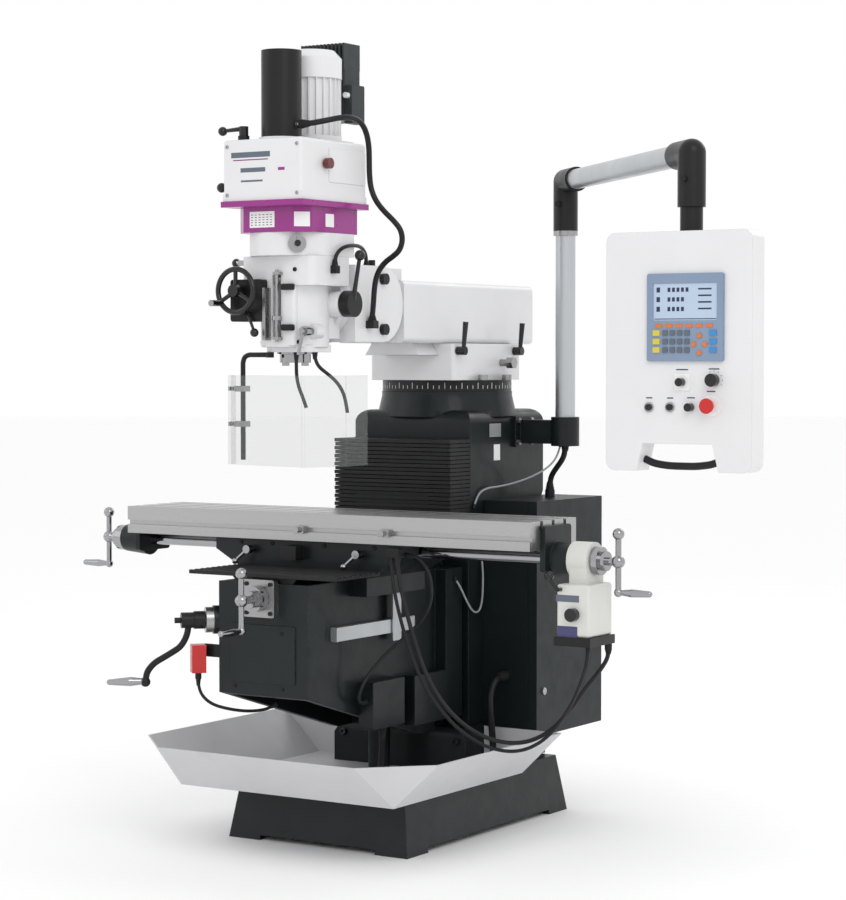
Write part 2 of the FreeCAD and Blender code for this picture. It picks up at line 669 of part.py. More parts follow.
def ram():
    length = block("-ram_half_width", "ram_half_width", "-ram_front", "ram_back",
                   "saddle_block_top+slide_gap", "ram_top")
    soft = rounded(length, 16, "y")
    rear = rounded(block("-ram_half_width+30", "ram_half_width-30", "ram_back",
                         "ram_back+20", 1492, 1573), 10, "y")
    tongue = fuse(rod("x", "tongue_radius", "-tongue_half", "tongue_half",
                      ("-nod_y", "nod_z")),
                  block("-tongue_half", "tongue_half", "-nod_y", "-ram_front",
                        "nod_z-tongue_radius", "nod_z+tongue_radius"),
                  block("-tongue_half", "tongue_half", "-ram_front", "-ram_front+60",
                        "nod_z", "nod_z+tongue_radius"))
    hollow = block("-ram_half_width+ram_wall", "ram_half_width-ram_wall",
                   "-ram_front+ram_wall", "ram_back-ram_wall",
                   "saddle_block_top+ram_wall", "ram_top-ram_wall")
    pin_bore = rod("x", "pin_radius+running_fit", "-tongue_half-1", "tongue_half+1",
                   ("-nod_y", "nod_z"))
    node("ram", cut(fuse(soft, rear, tongue, ram_rail(0)), hollow, pin_bore))


def ram_adapter():
    outside = fuse(
        rod("x", "fork_radius", "-fork_half", "fork_half", ("-nod_y", "nod_z")),
        block("-fork_half", "fork_half", "-fork_front", "-nod_y", "nod_z-fork_radius",
              "nod_z+fork_radius"))
    gap = fuse(
        block("-tongue_half-slide_gap", "tongue_half+slide_gap", "-nod_y-fork_radius",
              "-nod_y+fork_radius+2", "nod_z-fork_radius-1", "nod_z+fork_radius+1"))
    neck = cone("y", "flange_radius", "flange_radius+2", "-neck_front", "-fork_front",
                (0, "swivel_z"))
    pin = rod("x", "pin_radius", "-fork_half", "fork_half", ("-nod_y", "nod_z"))
    pivot = rod("y", 40, "-neck_front-18", "-fork_front", (0, "swivel_z"))
    bolts = []
    for side in (-1, 1):
        for z in (1478, 1622):
            outer = "fork_half" if side > 0 else "-fork_half-15"
            bolts.append(rod("x", 16, outer, outer + "+15", ("-nod_y", z)))
    cap = rod("z", 10, "nod_z+fork_radius", "nod_z+fork_radius+17", (92, "-nod_y-20"))
    gland = rounded(block("fork_half", 142, -371, -345, 1480, 1502), 3, "y")
    node("ram_adapter", group(fuse(cut(outside, gap), neck, pin, pivot), cap, gland,
                              *bolts))


# ---------------------------------------------------------------- head

FEED_SHAFT = (-488, 1547)
WHEEL_PLACE = (-98, 1582)
BELT_PULLEYS = {"spindle_pulley": (-553, 52), "motor_pulley": (-473, 20)}


def head_casting():
    centre = (0, "-spindle_y")
    body = fuse(
        rod("z", "head_radius", "head_bottom+14", "head_top-30", centre),
        rounded(block(-60, 60, "-head_front", "-spindle_y", "head_bottom+18", "head_top-30"),
                10, "z"),
        rounded(block(-64, 88, "-spindle_y-60", "-spindle_y+60", "head_bottom",
                      "head_bottom+20"), 18, "z"),
        rounded(block(-125, 122, "-head_front", "-neck_front-slide_gap", 1596, "head_top"),
                22, "z"),
        block(-80, 80, "-spindle_y", "-neck_front-slide_gap", 1450, 1650),
        rod("y", "flange_radius", "-neck_front-26", "-neck_front-slide_gap",
            (0, "swivel_z")),
        rod("x", 37, 60, 124, FEED_SHAFT),
        rod("x", 30, -110, -60, FEED_SHAFT))
    bores = [
        rod("z", "quill_radius+running_fit", "head_bottom-1", "head_top+1", centre),
        rod("y", "40+running_fit", "-neck_front-19", "-neck_front+1", (0, "swivel_z")),
        rod("x", "10+running_fit", -120, 130, FEED_SHAFT),
        block(-14, 14, "-head_front-1", "-spindle_y", 1452, 1625),
        rod("x", "5+running_fit", -130, -60, ("-head_front+26", 1662)),
        rod("y", "9+running_fit", -661, -560, (88, 1470)),
        block(-62, 62, -700, "-head_front", 1400, 1700),
    ]
    lock_boss = rod("y", 20, -600, -560, (88, 1470))
    gland = rounded(block(122, 141, -557, -537, 1630, 1652), 3, "y")
    node("head_casting", group(cut(fuse(body, lock_boss), *bores), gland))


def quill_feed_box():
    box = cut(rounded(block(-140, -31, -668, -590, 1497, 1614), 8, "y"),
              rod("z", "head_radius", 1400, 1700, (0, "-spindle_y")),
              block(-60, 60, "-head_front", "-spindle_y", 1400, 1700),
              block(-126, 123, "-head_front", -430, 1596, 1700),
              rod("y", "9+running_fit", -690, -580, WHEEL_PLACE),
              rod("y", "6+running_fit", -690, -580, (-75, 1520)))
    scale = block(-30, -20, -668, "-head_front", 1445, 1590)
    screw = rod("z", 5, 1440, 1640, (8, "-head_front-12"))
    nut = tube("z", 13, 5.05, 1500, 1512, (8, "-head_front-12"))
    lugs = [cut(block(0, 20, "-head_front-20", "-head_front", z, z + 8),
                rod("z", 5.05, z - 1, z + 9, (8, "-head_front-12"))) for z in (1446, 1626)]
    node("quill_feed_box", group(cut(box, scale), scale, screw, nut, *lugs))


def head_levers():
    wheel_x, wheel_z = WHEEL_PLACE
    rim = ring("y", 60, 7.5, wheel_x, -700, wheel_z)
    spokes = []
    for turn in (90, 210, 330):
        angle = math.radians(turn)
        spokes.append(bar(6, (wheel_x, -700, wheel_z),
                          (wheel_x + 58 * math.cos(angle), -700,
                           wheel_z + 58 * math.sin(angle))))
    grip_angle = math.radians(215)
    grip_x = wheel_x + 60 * math.cos(grip_angle)
    grip_z = wheel_z + 60 * math.sin(grip_angle)
    node("quill_handwheel", fuse(
        rim, rod("y", 17, -714, -682, WHEEL_PLACE), rod("y", 9, -690, -595, WHEEL_PLACE),
        rod("y", 9, -748, -702, (grip_x, grip_z)), *spokes))
    y, z = FEED_SHAFT
    node("quill_feed_lever", fuse(
        rod("x", 10, -112, 150, FEED_SHAFT), rod("x", 37, 126, 158, FEED_SHAFT),
        bar(7, (150, y, z), (176, y - 4, z + 128), 5.5), ball(15, 177, y - 4, z + 134)))
    node("quill_lock_lever", fuse(
        rod("y", 9, -650, -572, (88, 1470)), rod("y", 14, -638, -618, (88, 1470)),
        bar(6, (88, -640, 1470), (80, -652, 1404), 4.5)))
    node("feed_trip_lever", fuse(
        rod("y", 6, -682, -622, (-75, 1520)),
        bar(4.5, (-75, -676, 1520), (-48, -682, 1470), 4), ball(12, -47, -682, 1466)))
    node("feed_engage_knob", fuse(
        rod("x", 5, -150, -70, ("-head_front+26", 1662)),
        rod("x", 8, -150, -127, ("-head_front+26", 1662)),
        ball(13, -158, "-head_front+26", 1662, "x")))


def gear_housing():
    centre = (0, "-spindle_y-8")
    collar = fuse(rod("z", "ring_radius", "head_top", "white_ring_top", centre),
                  block("-ring_radius", "ring_radius", "-spindle_y", -440, "head_top",
                        "white_ring_top"))
    housing = profile("z", [(-82, -684), (82, -684), (122, -644), (122, -424),
                            (-122, -424), (-122, -644)], "white_ring_top", "gear_top")
    plate = rounded(block("-belt_half-6", "belt_half+6", "-belt_front-6", "-belt_back+6",
                          "gear_top", "belt_bottom"), 5, "z")
    drill = rod("z", "quill_radius+2", "head_top-1", "belt_bottom+1", (0, "-spindle_y"))
    lower = cut(collar, drill, dial_bore())
    middle = cut(fuse(housing, plate), drill,
                 rod("z", 30, "gear_top-20", "belt_bottom+1", (0, "-motor_y+20")))
    node("spindle_gear_housing", group(lower, middle))


DIAL_TURN = 40


def dial_frame(distance):
    """A point on the speed dial's axis, measured outward from the collar's centre."""
    turn = math.radians(DIAL_TURN)
    return (distance * math.sin(turn),
            -size("spindle_y") - 8 - distance * math.cos(turn), 1710)


def dial_bore():
    return bar(8.05, dial_frame(80), dial_frame(140))


def speed_range_dial():
    node("speed_range_dial", fuse(
        bar(8, dial_frame(84), dial_frame(126)), bar(25, dial_frame(124), dial_frame(132)),
        bar(9, dial_frame(130), dial_frame(144)),
        bar(2.5, dial_frame(138), (dial_frame(138)[0], dial_frame(138)[1], 1730))))


def belt_cover():
    outer = rounded(block("-belt_half", "belt_half", "-belt_front", "-belt_back",
                          "belt_bottom", "belt_top"), 9, "xyz")
    inner = block("-belt_half+belt_wall", "belt_half-belt_wall", "-belt_front+belt_wall",
                  "-belt_back-belt_wall", "belt_bottom-1", "belt_top-belt_wall")
    base = block("-belt_half", "belt_half", "-belt_front", "-belt_back", "belt_bottom",
                 "belt_bottom+20")
    collar = rod("z", "drawbar_radius+7", "belt_top-10", "belt_top+8", (0, "-drawbar_y"))
    seat = block("-motor_radius-6", "motor_radius+6", "-motor_y-84", "-belt_back-2",
                 "belt_top-10", "belt_top+8")
    holes = [rod("z", "drawbar_radius-6", "belt_top-20", "belt_top+20", (0, "-drawbar_y")),
             rod("z", 22, "belt_top-20", "belt_top+20", (0, "-motor_y"))]
    shell = cut(fuse(outer, base, collar, cut(seat, rod(
        "z", "drawbar_radius+7", "belt_top-11", "belt_top+13", (0, "-drawbar_y")))),
        inner, *holes)
    knob = fuse(rod("x", 15, "belt_half+6", "belt_half+22", (-600, 1930)),
                rod("x", 8, "belt_half", "belt_half+6", (-600, 1930)))
    access = rounded(block("belt_half", "belt_half+1.5", -580, -400, 1880, 1975), 6, "x")
    housing = cut(
        rod("z", "drawbar_radius", "belt_top+8", "drawbar_top", (0, "-drawbar_y")),
        rod("z", "drawbar_radius-3", "belt_top+7", "drawbar_top-3", (0, "-drawbar_y")))
    gland = cut(rod("x", 11, "drawbar_radius-12", 66, ("-drawbar_y", 2040)),
                rod("z", "drawbar_radius", 2000, 2100, (0, "-drawbar_y")))
    seats = [gland,
             rod("z", 16, "belt_top", "belt_top+13.7", (-92, -668)),
             rod("x", 14, "-belt_half-13.7", "-belt_half", (-640, 1873))]
    node("belt_cover", group(shell, knob, access, housing, *seats))


def head_shift_levers():
    node("brake_lever", fuse(
        rod("z", 13, "belt_top+14", "belt_top+40", (-92, -668)),
        bar(7, (-92, -668, 2031), (-150, -676, 2027), 5),
        ball(13, -158, -677, 2026, "z_back")))
    node("range_lever", fuse(
        ball(9, -156.5, -640, 1873, "x"), rod("x", 6, -184, -156, (-640, 1873)),
        ball(14, -190, -640, 1873, "x")))


def spindle_motor():
    centre = (0, "-motor_y")
    fins = [bar_fin(turn) for turn in range(0, 360, 15)]
    body = fuse(rod("z", "motor_radius-8", 2018, 2178, centre), *fins)
    flange = tube("z", "motor_radius+2", "14+running_fit", "belt_top+8", 2018, centre)
    pieces = [body, flange, fan_cover()]
    box = rounded(block(-100, 50, -382, -300, 2070, 2216), 6, "z")
    heads = [block(-100 + step, -95 + step, -382, -300, 2216, 2290)
             for step in range(0, 146, 13)]
    terminal = rounded(block(50, 76, -382, -318, 2061, 2170), 6, "x")
    knob = rod("y", 8, -396, -382, (62, 2140))
    bridge = block(-40, 40, -396, -382, 2180, 2216)
    bridge = cut(bridge, rod("z", "motor_radius+2", 2000, 2300, centre))
    node("spindle_motor", group(*pieces, fuse(box, *heads), terminal, knob, bridge))


def bar_fin(turn):
    """One cooling rib on the motor's barrel."""
    fin = doc.addObject("Part::Box", "Fin")
    bind(fin, Length="motor_radius", Width=4, Height=160)
    angle = math.radians(turn)
    fin.Placement = FreeCAD.Placement(
        V(2 * math.sin(angle), -size("motor_y") - 2 * math.cos(angle), 2018),
        FreeCAD.Rotation(V(0, 0, 1), turn))
    return fin


def fan_cover():
    """The motor's domed fan cover."""
    top = rod("z", "motor_radius+2", 2178, "motor_top-22", (0, "-motor_y"))
    dome = cone("z", "motor_radius+2", "motor_radius-18", "motor_top-22", "motor_top",
                (0, "-motor_y"))
    return fuse(top, dome)


def quill_and_spindle():
    centre = (0, "-spindle_y")
    rack_flat = block(-12, 12, "-spindle_y+quill_radius-2", "-spindle_y+quill_radius+1",
                      1420, 1670)
    stop_lug = block(-10, 10, "-head_front+4", "-spindle_y", 1600, 1618)
    barrel = fuse(rod("z", "quill_radius", "quill_nose", 1672, centre),
                  stop_lug)
    node("quill", cut(barrel, rack_flat,
                      rod("z", "spindle_shaft+4+running_fit", "quill_nose-1", 1673, centre)))
    nose = fuse(rod("z", "spindle_radius", "spindle_nose", "quill_nose-slide_gap", centre),
                rod("z", "spindle_shaft+4", "quill_nose-1", 1700, centre),
                rod("z", 15, 1700, 1990, centre))
    taper_bore = cone("z", 22, 12, "spindle_nose-1", "spindle_nose+76", centre)
    keys = [block(x, x + 14, "-spindle_y-8", "-spindle_y+8", "spindle_nose-9",
                  "spindle_nose") for x in (-40, 26)]
    node("spindle", group(cut(nose, taper_bore), *keys))
    for name, (y, radius) in BELT_PULLEYS.items():
        sheave = cut(rod("z", radius + 4, 1856, 1886, (0, y)),
                     tube("z", radius + 6, radius, 1859, 1883, (0, y)))
        if name == "spindle_pulley":
            node(name, cut(sheave, rod("z", "15+running_fit", 1855, 1887, (0, y))))
        else:
            node(name, fuse(sheave, rod("z", 14, 1852, 2017.7, (0, y))))


def belt_outline(grow, bottom, top):
    """The stretched loop round both sheaves, grown outward."""
    (spindle_y, large), (motor_y, small) = BELT_PULLEYS.values()
    lean = (large - small) / (motor_y - spindle_y)
    across = math.sqrt(1 - lean ** 2)
    corners = [((large + grow) * across, spindle_y + (large + grow) * lean),
               ((small + grow) * across, motor_y + (small + grow) * lean)]
    return fuse(profile("z", mirrored_points(corners), bottom, top),
                rod("z", large + grow, bottom, top, (0, spindle_y)),
                rod("z", small + grow, bottom, top, (0, motor_y)))


def drive_belt():
    node("drive_belt", cut(belt_outline(4, 1860, 1882), belt_outline(0.2, 1859, 1883)))


def guard():
    rod_x, rod_y = "-rod_x", "-rod_y"
    x, y, top = -size("rod_x"), -size("rod_y"), size("rod_top")
    bent = hose("GuardRodBend", [(x, y, size("rod_bottom")), (x, y, top - 20),
                                 (x + 6, y, top - 6), (x + 20, y, top), (-44, y, top)],
                2 * size("rod_radius"))
    foot = rod("z", 11, "rod_top-8", "head_bottom", (-46, rod_y))
    node("guard_rod", group(cut(bent, foot), foot))
    outline = [(-174, -604), (-165, -641), (142, -717), (200, -600), (191, -475)]
    panes = []
    for start, end in zip(outline, outline[1:]):
        pane = doc.addObject("Part::Box", "Pane")
        bind(pane, Length=math.dist(start, end), Width="guard_sheet",
             Height="guard_top-guard_bottom")
        turn = math.degrees(math.atan2(end[1] - start[1], end[0] - start[0]))
        pane.Placement = FreeCAD.Placement(V(start[0], start[1], size("guard_bottom")),
                                           FreeCAD.Rotation(V(0, 0, 1), turn))
        panes.append(pane)
    joints = [rod("z", 4, "guard_bottom", "guard_top", corner_point)
              for corner_point in outline[1:-1]]
    screen = fuse(*panes, *joints)
    clamps = []
    for z in (1203, 1302):
        clamp = fuse(block(-156, -124, -630, -598, z, z + 16),
                     rod("x", 5, -176, -156, (-614, z + 8)),
                     block(-182, -176, -624, -604, z + 2, z + 14))
        clamps.append(cut(clamp, rod("z", "rod_radius+running_fit", z - 1, z + 17,
                                     (rod_x, rod_y)), guard_copy(screen)))
    node("guard_screen", group(screen, *clamps))


def guard_copy(screen):
    """The screen's own seat in its clamps."""
    doc.recompute()
    seat = doc.addObject("Part::Feature", "ScreenSeat")
    seat.Shape = screen.Shape.copy()
    return seat


# ---------------------------------------------------------------- knee

CRANK_FOOT = (-151, -656, 663)
CRANK_WAY = (-math.sqrt(0.5), -math.sqrt(0.5), 0)


def crank_point(outward, down=0.0, sideways=0.0):
    """A point near the lifting crank: outward on its axis, down, and to its left."""
    x, y, z = CRANK_FOOT
    return (x + CRANK_WAY[0] * outward + CRANK_WAY[1] * sideways,
            y + CRANK_WAY[1] * outward - CRANK_WAY[0] * sideways, z - down)


def knee_casting():
    box = profile("x", [("-knee_front", "knee_top"), ("-knee_back", "knee_top"),
                        ("-knee_back", "knee_back_bottom"), ("-knee_back-100",
                                                             "knee_back_bottom"),
                        ("-knee_front", "knee_front_bottom")],
                  "-knee_half_width", "knee_half_width")
    rail = profile("y", mirrored_points([("knee_rail_narrow", "knee_top"),
                                         ("knee_rail_wide", "knee_rail_top")]),
                   "-knee_front+8", "-knee_back-8")
    sides = []
    for sign in ("", "-"):
        outline = [("way_tip+0.8", "-knee_back"), ("way_root+5", 29), ("arm_outer", 29),
                   ("arm_outer", "-knee_back")]
        pad = [("way_tip+0.8", "-knee_back"), ("arm_outer", "-knee_back"),
               ("arm_outer", -230), ("way_tip+0.8", -230)]
        for corners, top in ((outline, "knee_top"), (pad, 480)):
            sides.append(profile("z", [("%s(%s)" % (sign, x), y) for x, y in corners],
                                 "arm_bottom", top))
    hollow = block("-knee_half_width+knee_wall", "knee_half_width-knee_wall",
                   "-knee_front+knee_wall", "-knee_back-knee_wall", "knee_back_bottom-100",
                   "knee_top-knee_roof")
    nut_slot = block(-22, 22, -660, -140, "knee_top-knee_roof-1", "knee_rail_top+1")
    boss = bar(40, crank_point(-40), crank_point(50))
    bearing = block("-knee_half_width+knee_wall", "knee_half_width-knee_wall", -200,
                    "-knee_back-knee_wall", 560, 582)
    bores = [rod("y", "cross_screw_radius+running_fit", "-knee_front-1",
                 "-knee_front+knee_wall+1", (0, "cross_screw_z")),
             rod("z", "lift_screw_radius+running_fit", 559, 583, (0, "-screw_y")),
             bar(14.05, crank_point(-60), crank_point(60))]
    whole = fuse(box, rail, *sides)
    casting = cut(fuse(cut(whole, hollow, nut_slot), cut(boss, hollow), bearing), *bores)
    cover = rounded(block(-110, 110, "-knee_front-4", "-knee_front", 500, 660), 6, "y")
    NODES["knee_casting"] = [casting, cover]


def lift_screw():
    centre = (0, "-screw_y")
    node("lift_screw", fuse(
        rod("z", "lift_screw_radius", 130, 640, centre),
        cone("z", 42, 28, 600, 622, centre), rod("z", 26, 582.3, 600, centre)))


def ball_crank(axis_point, outward_axis, sign, shaft):
    """A balanced ball crank: hub ball, upright bar with two balls, and a turned handle."""
    x, y, z = axis_point
    up, down = size("crank_up"), size("crank_down")
    length = size("handle_length") * sign
    if outward_axis == "x":
        start, middle, end = (x, y), (x + length * 0.45, y), (x + length, y)
    else:
        start, middle, end = (x, y), (x, y + length * 0.45), (x, y + length)
    return [ball(18, x, y, z), bar(8, (x, y, z), (x, y, z + up)), ball(16, x, y, z + up),
            bar(8, (x, y, z), (x, y, z - down)), ball(12, x, y, z - down),
            bar(6, (*start, z - down), (*middle, z - down), 11),
            bar(11, (*middle, z - down), (*end, z - down), 8.5),
            ball(8.5, *end, z - down)] + shaft


def cross_feed_screw():
    z = "cross_screw_z"
    shaft = [rod("y", "cross_screw_radius", -808, -160, (0, z)),
             rod("y", 36, -760, -731, (0, z)), rod("y", 24, -775, -760, (0, z))]
    node("cross_feed_screw", fuse(*ball_crank((0, -808, size(z)), "y", -1, shaft)))
    flange = rounded(block(-52, 52, -730, "-knee_front", 683, 787), 6, "y")
    screws = [rod("y", 6, -734, -730, (x, height)) for x in (-40, 40)
              for height in (695, 775)]
    body = cut(flange, rod("y", "cross_screw_radius+running_fit", -731, -709, (0, z)))
    node("knee_casting", group(*NODES.pop("knee_casting"), body, *screws))


def knee_lift_crank():
    dial = bar(36, crank_point(50.3), crank_point(72))
    hub = fuse(bar(25, crank_point(74), crank_point(104)),
               bar(22, crank_point(104), crank_point(140)))
    shaft = bar(14, crank_point(-36), crank_point(80))
    nose = bar(8, crank_point(138), crank_point(158))
    arm = hose("LiftCrankArm", [crank_point(118), crank_point(122, 40), crank_point(140, 74),
                                crank_point(180, 98), crank_point(216, 118),
                                crank_point(236, 142), crank_point(240, 170)], 18)
    grip = fuse(bar(8, crank_point(240, 168), crank_point(282, 168), 13),
                bar(13, crank_point(282, 168), crank_point(340, 168), 8),
                ball(8, *crank_point(340, 168)), ball(14, *crank_point(240, 170)))
    node("knee_lift_crank", fuse(hub, dial, shaft, nose, arm, grip))


SWITCH_GLAND = (-216, -721)


def knee_electrics():
    box = rounded(block("knee_half_width", 200, -461, -300, 352, 486), 5, "x")
    switch = doc.addObject("Part::Box", "SwitchBody")
    switch.Length, switch.Width, switch.Height = 40, 46, 78
    switch.Placement = FreeCAD.Placement(V(*crank_point(72, 147, 23)),
                                         FreeCAD.Rotation(V(0, 0, 1), 225))
    bracket = cut(block(-206, "-knee_half_width", -706, -700, 560, 596), switch)
    gland = rod("z", 9, 498, 516, SWITCH_GLAND)
    scale = rounded(block("knee_half_width", 172, -600, -202, 612, 652), 2, "y")
    node("knee_electrics", group(box, switch, bracket, gland, scale))


# ---------------------------------------------------------------- saddle and table

def saddle_casting():
    outline = mirrored_points([("saddle_half_width", "saddle_top"),
                               ("saddle_half_width", "saddle_top-34"),
                               ("skirt_outer", "knee_top+6"), ("skirt_outer", "skirt_bottom"),
                               ("knee_half_width+0.6", "skirt_bottom"),
                               ("knee_half_width+0.6", "knee_top+slide_gap")])
    body = profile("y", outline, "-saddle_front", "-saddle_back")
    rail = profile("x", [("-table_y-table_rail_narrow", "saddle_top"),
                         ("-table_y-table_rail_wide", "table_rail_top"),
                         ("-table_y+table_rail_wide", "table_rail_top"),
                         ("-table_y+table_rail_narrow", "saddle_top")], -300, 300)
    slot = profile("y", mirrored_points([
        ("knee_rail_narrow+slide_gap", "knee_top-1"),
        ("knee_rail_wide+slide_gap", "knee_rail_top+slide_gap")]),
        "-saddle_front-1", "-saddle_back+1")
    nut = block(-18, 18, -400, -330, 712, "knee_rail_top+10")
    bores = [rod("x", 24, "-saddle_half_width-1", -50, ("-table_y", "table_screw_z")),
             rod("x", 24, 50, "saddle_half_width+1", ("-table_y", "table_screw_z")),
             rod("x", "table_screw_radius+running_fit", -51, 51,
                 ("-table_y", "table_screw_z")),
             rod("y", "cross_screw_radius+running_fit", -401, -329, (0, "cross_screw_z"))]
    bores += [rod("y", "8+running_fit", "-saddle_front-1", "-saddle_front+40", (x, 850))
              for x in (-188, 188)]
    whole = cut(fuse(cut(fuse(body, rail), slot), nut), *bores)
    reader = block(173, 178, -325, -283, 590, "skirt_bottom")
    switch = rounded(block(-60, -10, -540, "-saddle_front", 826, 866), 4, "y")
    clamp = rounded(block(280, 320, -518, "-saddle_front", 846, 872), 4, "y")
    node("saddle_casting", group(whole, reader, switch, clamp))


def saddle_lock_levers():
    for name, x, side in (("saddle_lock_lever_left", -188, -1),
                          ("saddle_lock_lever_right", 188, -1)):
        node(name, fuse(rod("y", 8, -530, "-saddle_front+38", (x, 850)),
                        rod("y", 12, -534, -512, (x, 850)),
                        bar(5.5, (x, -526, 850), (x + side * 32, -540, 818), 4.5),
                        ball(9, x + side * 34, -541, 816, "z_back")))


def table():
    slab = block("-table_left", "table_right", "-table_front", "-table_back",
                 "table_bottom", "table_top")
    cuts = []
    for index in (-1, 0, 1):
        middle = "-table_y+%d*slot_pitch" % index
        cuts.append(block("-table_left-1", "table_right+1", middle + "-slot_width/2",
                          middle + "+slot_width/2", "table_top-slot_neck-1", "table_top+1"))
        cuts.append(block("-table_left-1", "table_right+1", middle + "-slot_foot/2",
                          middle + "+slot_foot/2", "table_top-slot_neck-slot_foot_depth",
                          "table_top-slot_neck"))
    cuts.append(block("-table_left-1", "table_right+1", "-table_front-1", "-table_front+10",
                      906, 919))
    for edge in ("-table_front+9", "-table_back-21"):
        cuts.append(block("-table_left+14", "table_right-14", edge, edge + "+12",
                          "table_top-7", "table_top+1"))
    cuts.append(profile("x", [("-table_y-table_rail_narrow-slide_gap", "saddle_top-0.5"),
                              ("-table_y-table_rail_wide-slide_gap",
                               "table_rail_top+slide_gap"),
                              ("-table_y+table_rail_wide+slide_gap",
                               "table_rail_top+slide_gap"),
                              ("-table_y+table_rail_narrow+slide_gap",
                               "saddle_top-0.5")], "-table_left-1", "table_right+1"))
    node("table", cut(slab, *cuts))


def end_brackets():
    """The leadscrew's bearing bracket on each end of the table."""
    centre = ("-table_y", "table_screw_z")
    brackets = []
    for start, face, neck_end in (("table_right", "table_right+16", 804),
                                  ("-table_left-16", "-table_left", -737)):
        plate = rounded(block(start, face, "-table_y-72", "-table_y+72", 822, 946), 10, "x")
        if neck_end > 0:
            neck = cone("x", 48, 40, face, neck_end, centre)
        else:
            neck = cone("x", 40, 48, neck_end, start, centre)
        brackets.append(cut(fuse(plate, neck), rod(
            "x", "table_screw_radius+running_fit", -800, 900, centre)))
    return brackets


def table_fittings():
    dogs = []
    for x in (-24, 262):
        foot = block(x, x + 34, "-table_front", "-table_front+9.7", 906.3, 918.7)
        head = rounded(block(x, x + 34, "-table_front-14", "-table_front", 902, 923), 4, "y")
        knob = rod("y", 8, "-table_front-26", "-table_front-14", (x + 17, 912.5))
        dogs.append(fuse(foot, head, knob))
    node("table_fittings", group(*end_brackets(), *dogs))


def table_feed_screw():
    y, z = "-table_y", "table_screw_z"
    shaft = [rod("x", "table_screw_radius", -745, 872, (y, z)),
             rod("x", 11, "-left_crank_x", -740, (y, z)),
             rod("x", 11, 870, "right_crank_x", (y, z)),
             rod("x", 38, -764, -738, (y, z)), rod("x", 26, -780, -764, (y, z)),
             rod("x", 38, 868, 888, (y, z)), rod("x", 26, 888, 904, (y, z))]
    left = ball_crank((-size("left_crank_x"), -size("table_y"), size(z)), "x", -1, [])
    right = ball_crank((size("right_crank_x"), -size("table_y"), size(z)), "x", 1, [])
    node("table_feed_screw", fuse(*shaft, *left, *right))


def power_feed():
    centre = ("-table_y", "table_screw_z")
    box = rounded(block("feed_left", "feed_right", "-feed_front", "-feed_back",
                        "feed_bottom+24", "feed_top-12"), 8, "xyz")
    base = block("feed_left-5", "feed_right+5", "-feed_front-5", "-feed_back+5",
                 "feed_bottom", "feed_bottom+24")
    neck = block(812, 866, "-table_y-46", "-table_y+46", "feed_top-14", "table_screw_z")
    ring_part = rod("x", 50, 804, 866, centre)
    bore = rod("x", 16.4, 803, 867, centre)
    knob_bore = rod("y", 6.05, "-feed_front-1", "-feed_front+20", (845, 715))
    lever_bore = rod("y", 5.05, "-feed_front-1", "-feed_front+20", (805, 780))
    gland = rod("z", 10, "feed_bottom-16", "feed_bottom", ("feed_right-7", "-feed_back-10"))
    node("power_feed_unit", group(cut(fuse(box, neck, ring_part), bore, knob_bore,
                                      lever_bore), base, gland))
    node("power_feed_dial", fuse(rod("y", 18, "-feed_front-20", "-feed_front-1", (845, 715)),
                                 rod("y", 6, "-feed_front-2", "-feed_front+18", (845, 715))))
    node("power_feed_lever", fuse(rod("y", 5, "-feed_front-16", "-feed_front+18", (805, 780)),
                                  bar(5, (805, -484, 780), (788, -500, 812), 6),
                                  ball(13, 787, -501, 818)))


# ---------------------------------------------------------------- way covers and cables

def front_rounded(solid, radius):
    """Round a box's upper front edge."""
    doc.recompute()
    result = doc.addObject("Part::Fillet", "Bend")
    result.Base = solid
    box = solid.Shape.BoundBox
    picked = []
    for index, edge in enumerate(solid.Shape.Edges, 1):
        middle = edge.CenterOfMass
        if abs(middle.y - box.YMin) < 0.01 and abs(middle.z - box.ZMax) < 0.01:
            picked.append((index, radius, radius))
    result.Edges = picked
    return result


def way_covers():
    pleats = [block(-250, 250, y, y + 13, 791, 804) for y in range(-720, -510, 15)]
    web = block(-250, 250, -720, -502, 791, 796)
    node("front_way_cover", fuse(web, *pleats))
    outer = block(-205, 205, -64.5, "column_front", 905, 1157)
    shell = cut(front_rounded(outer, 40), front_rounded(block(
        -201, 201, -60.5, "column_front+1", 904, 1153), 36))
    node("rear_way_cover", shell)


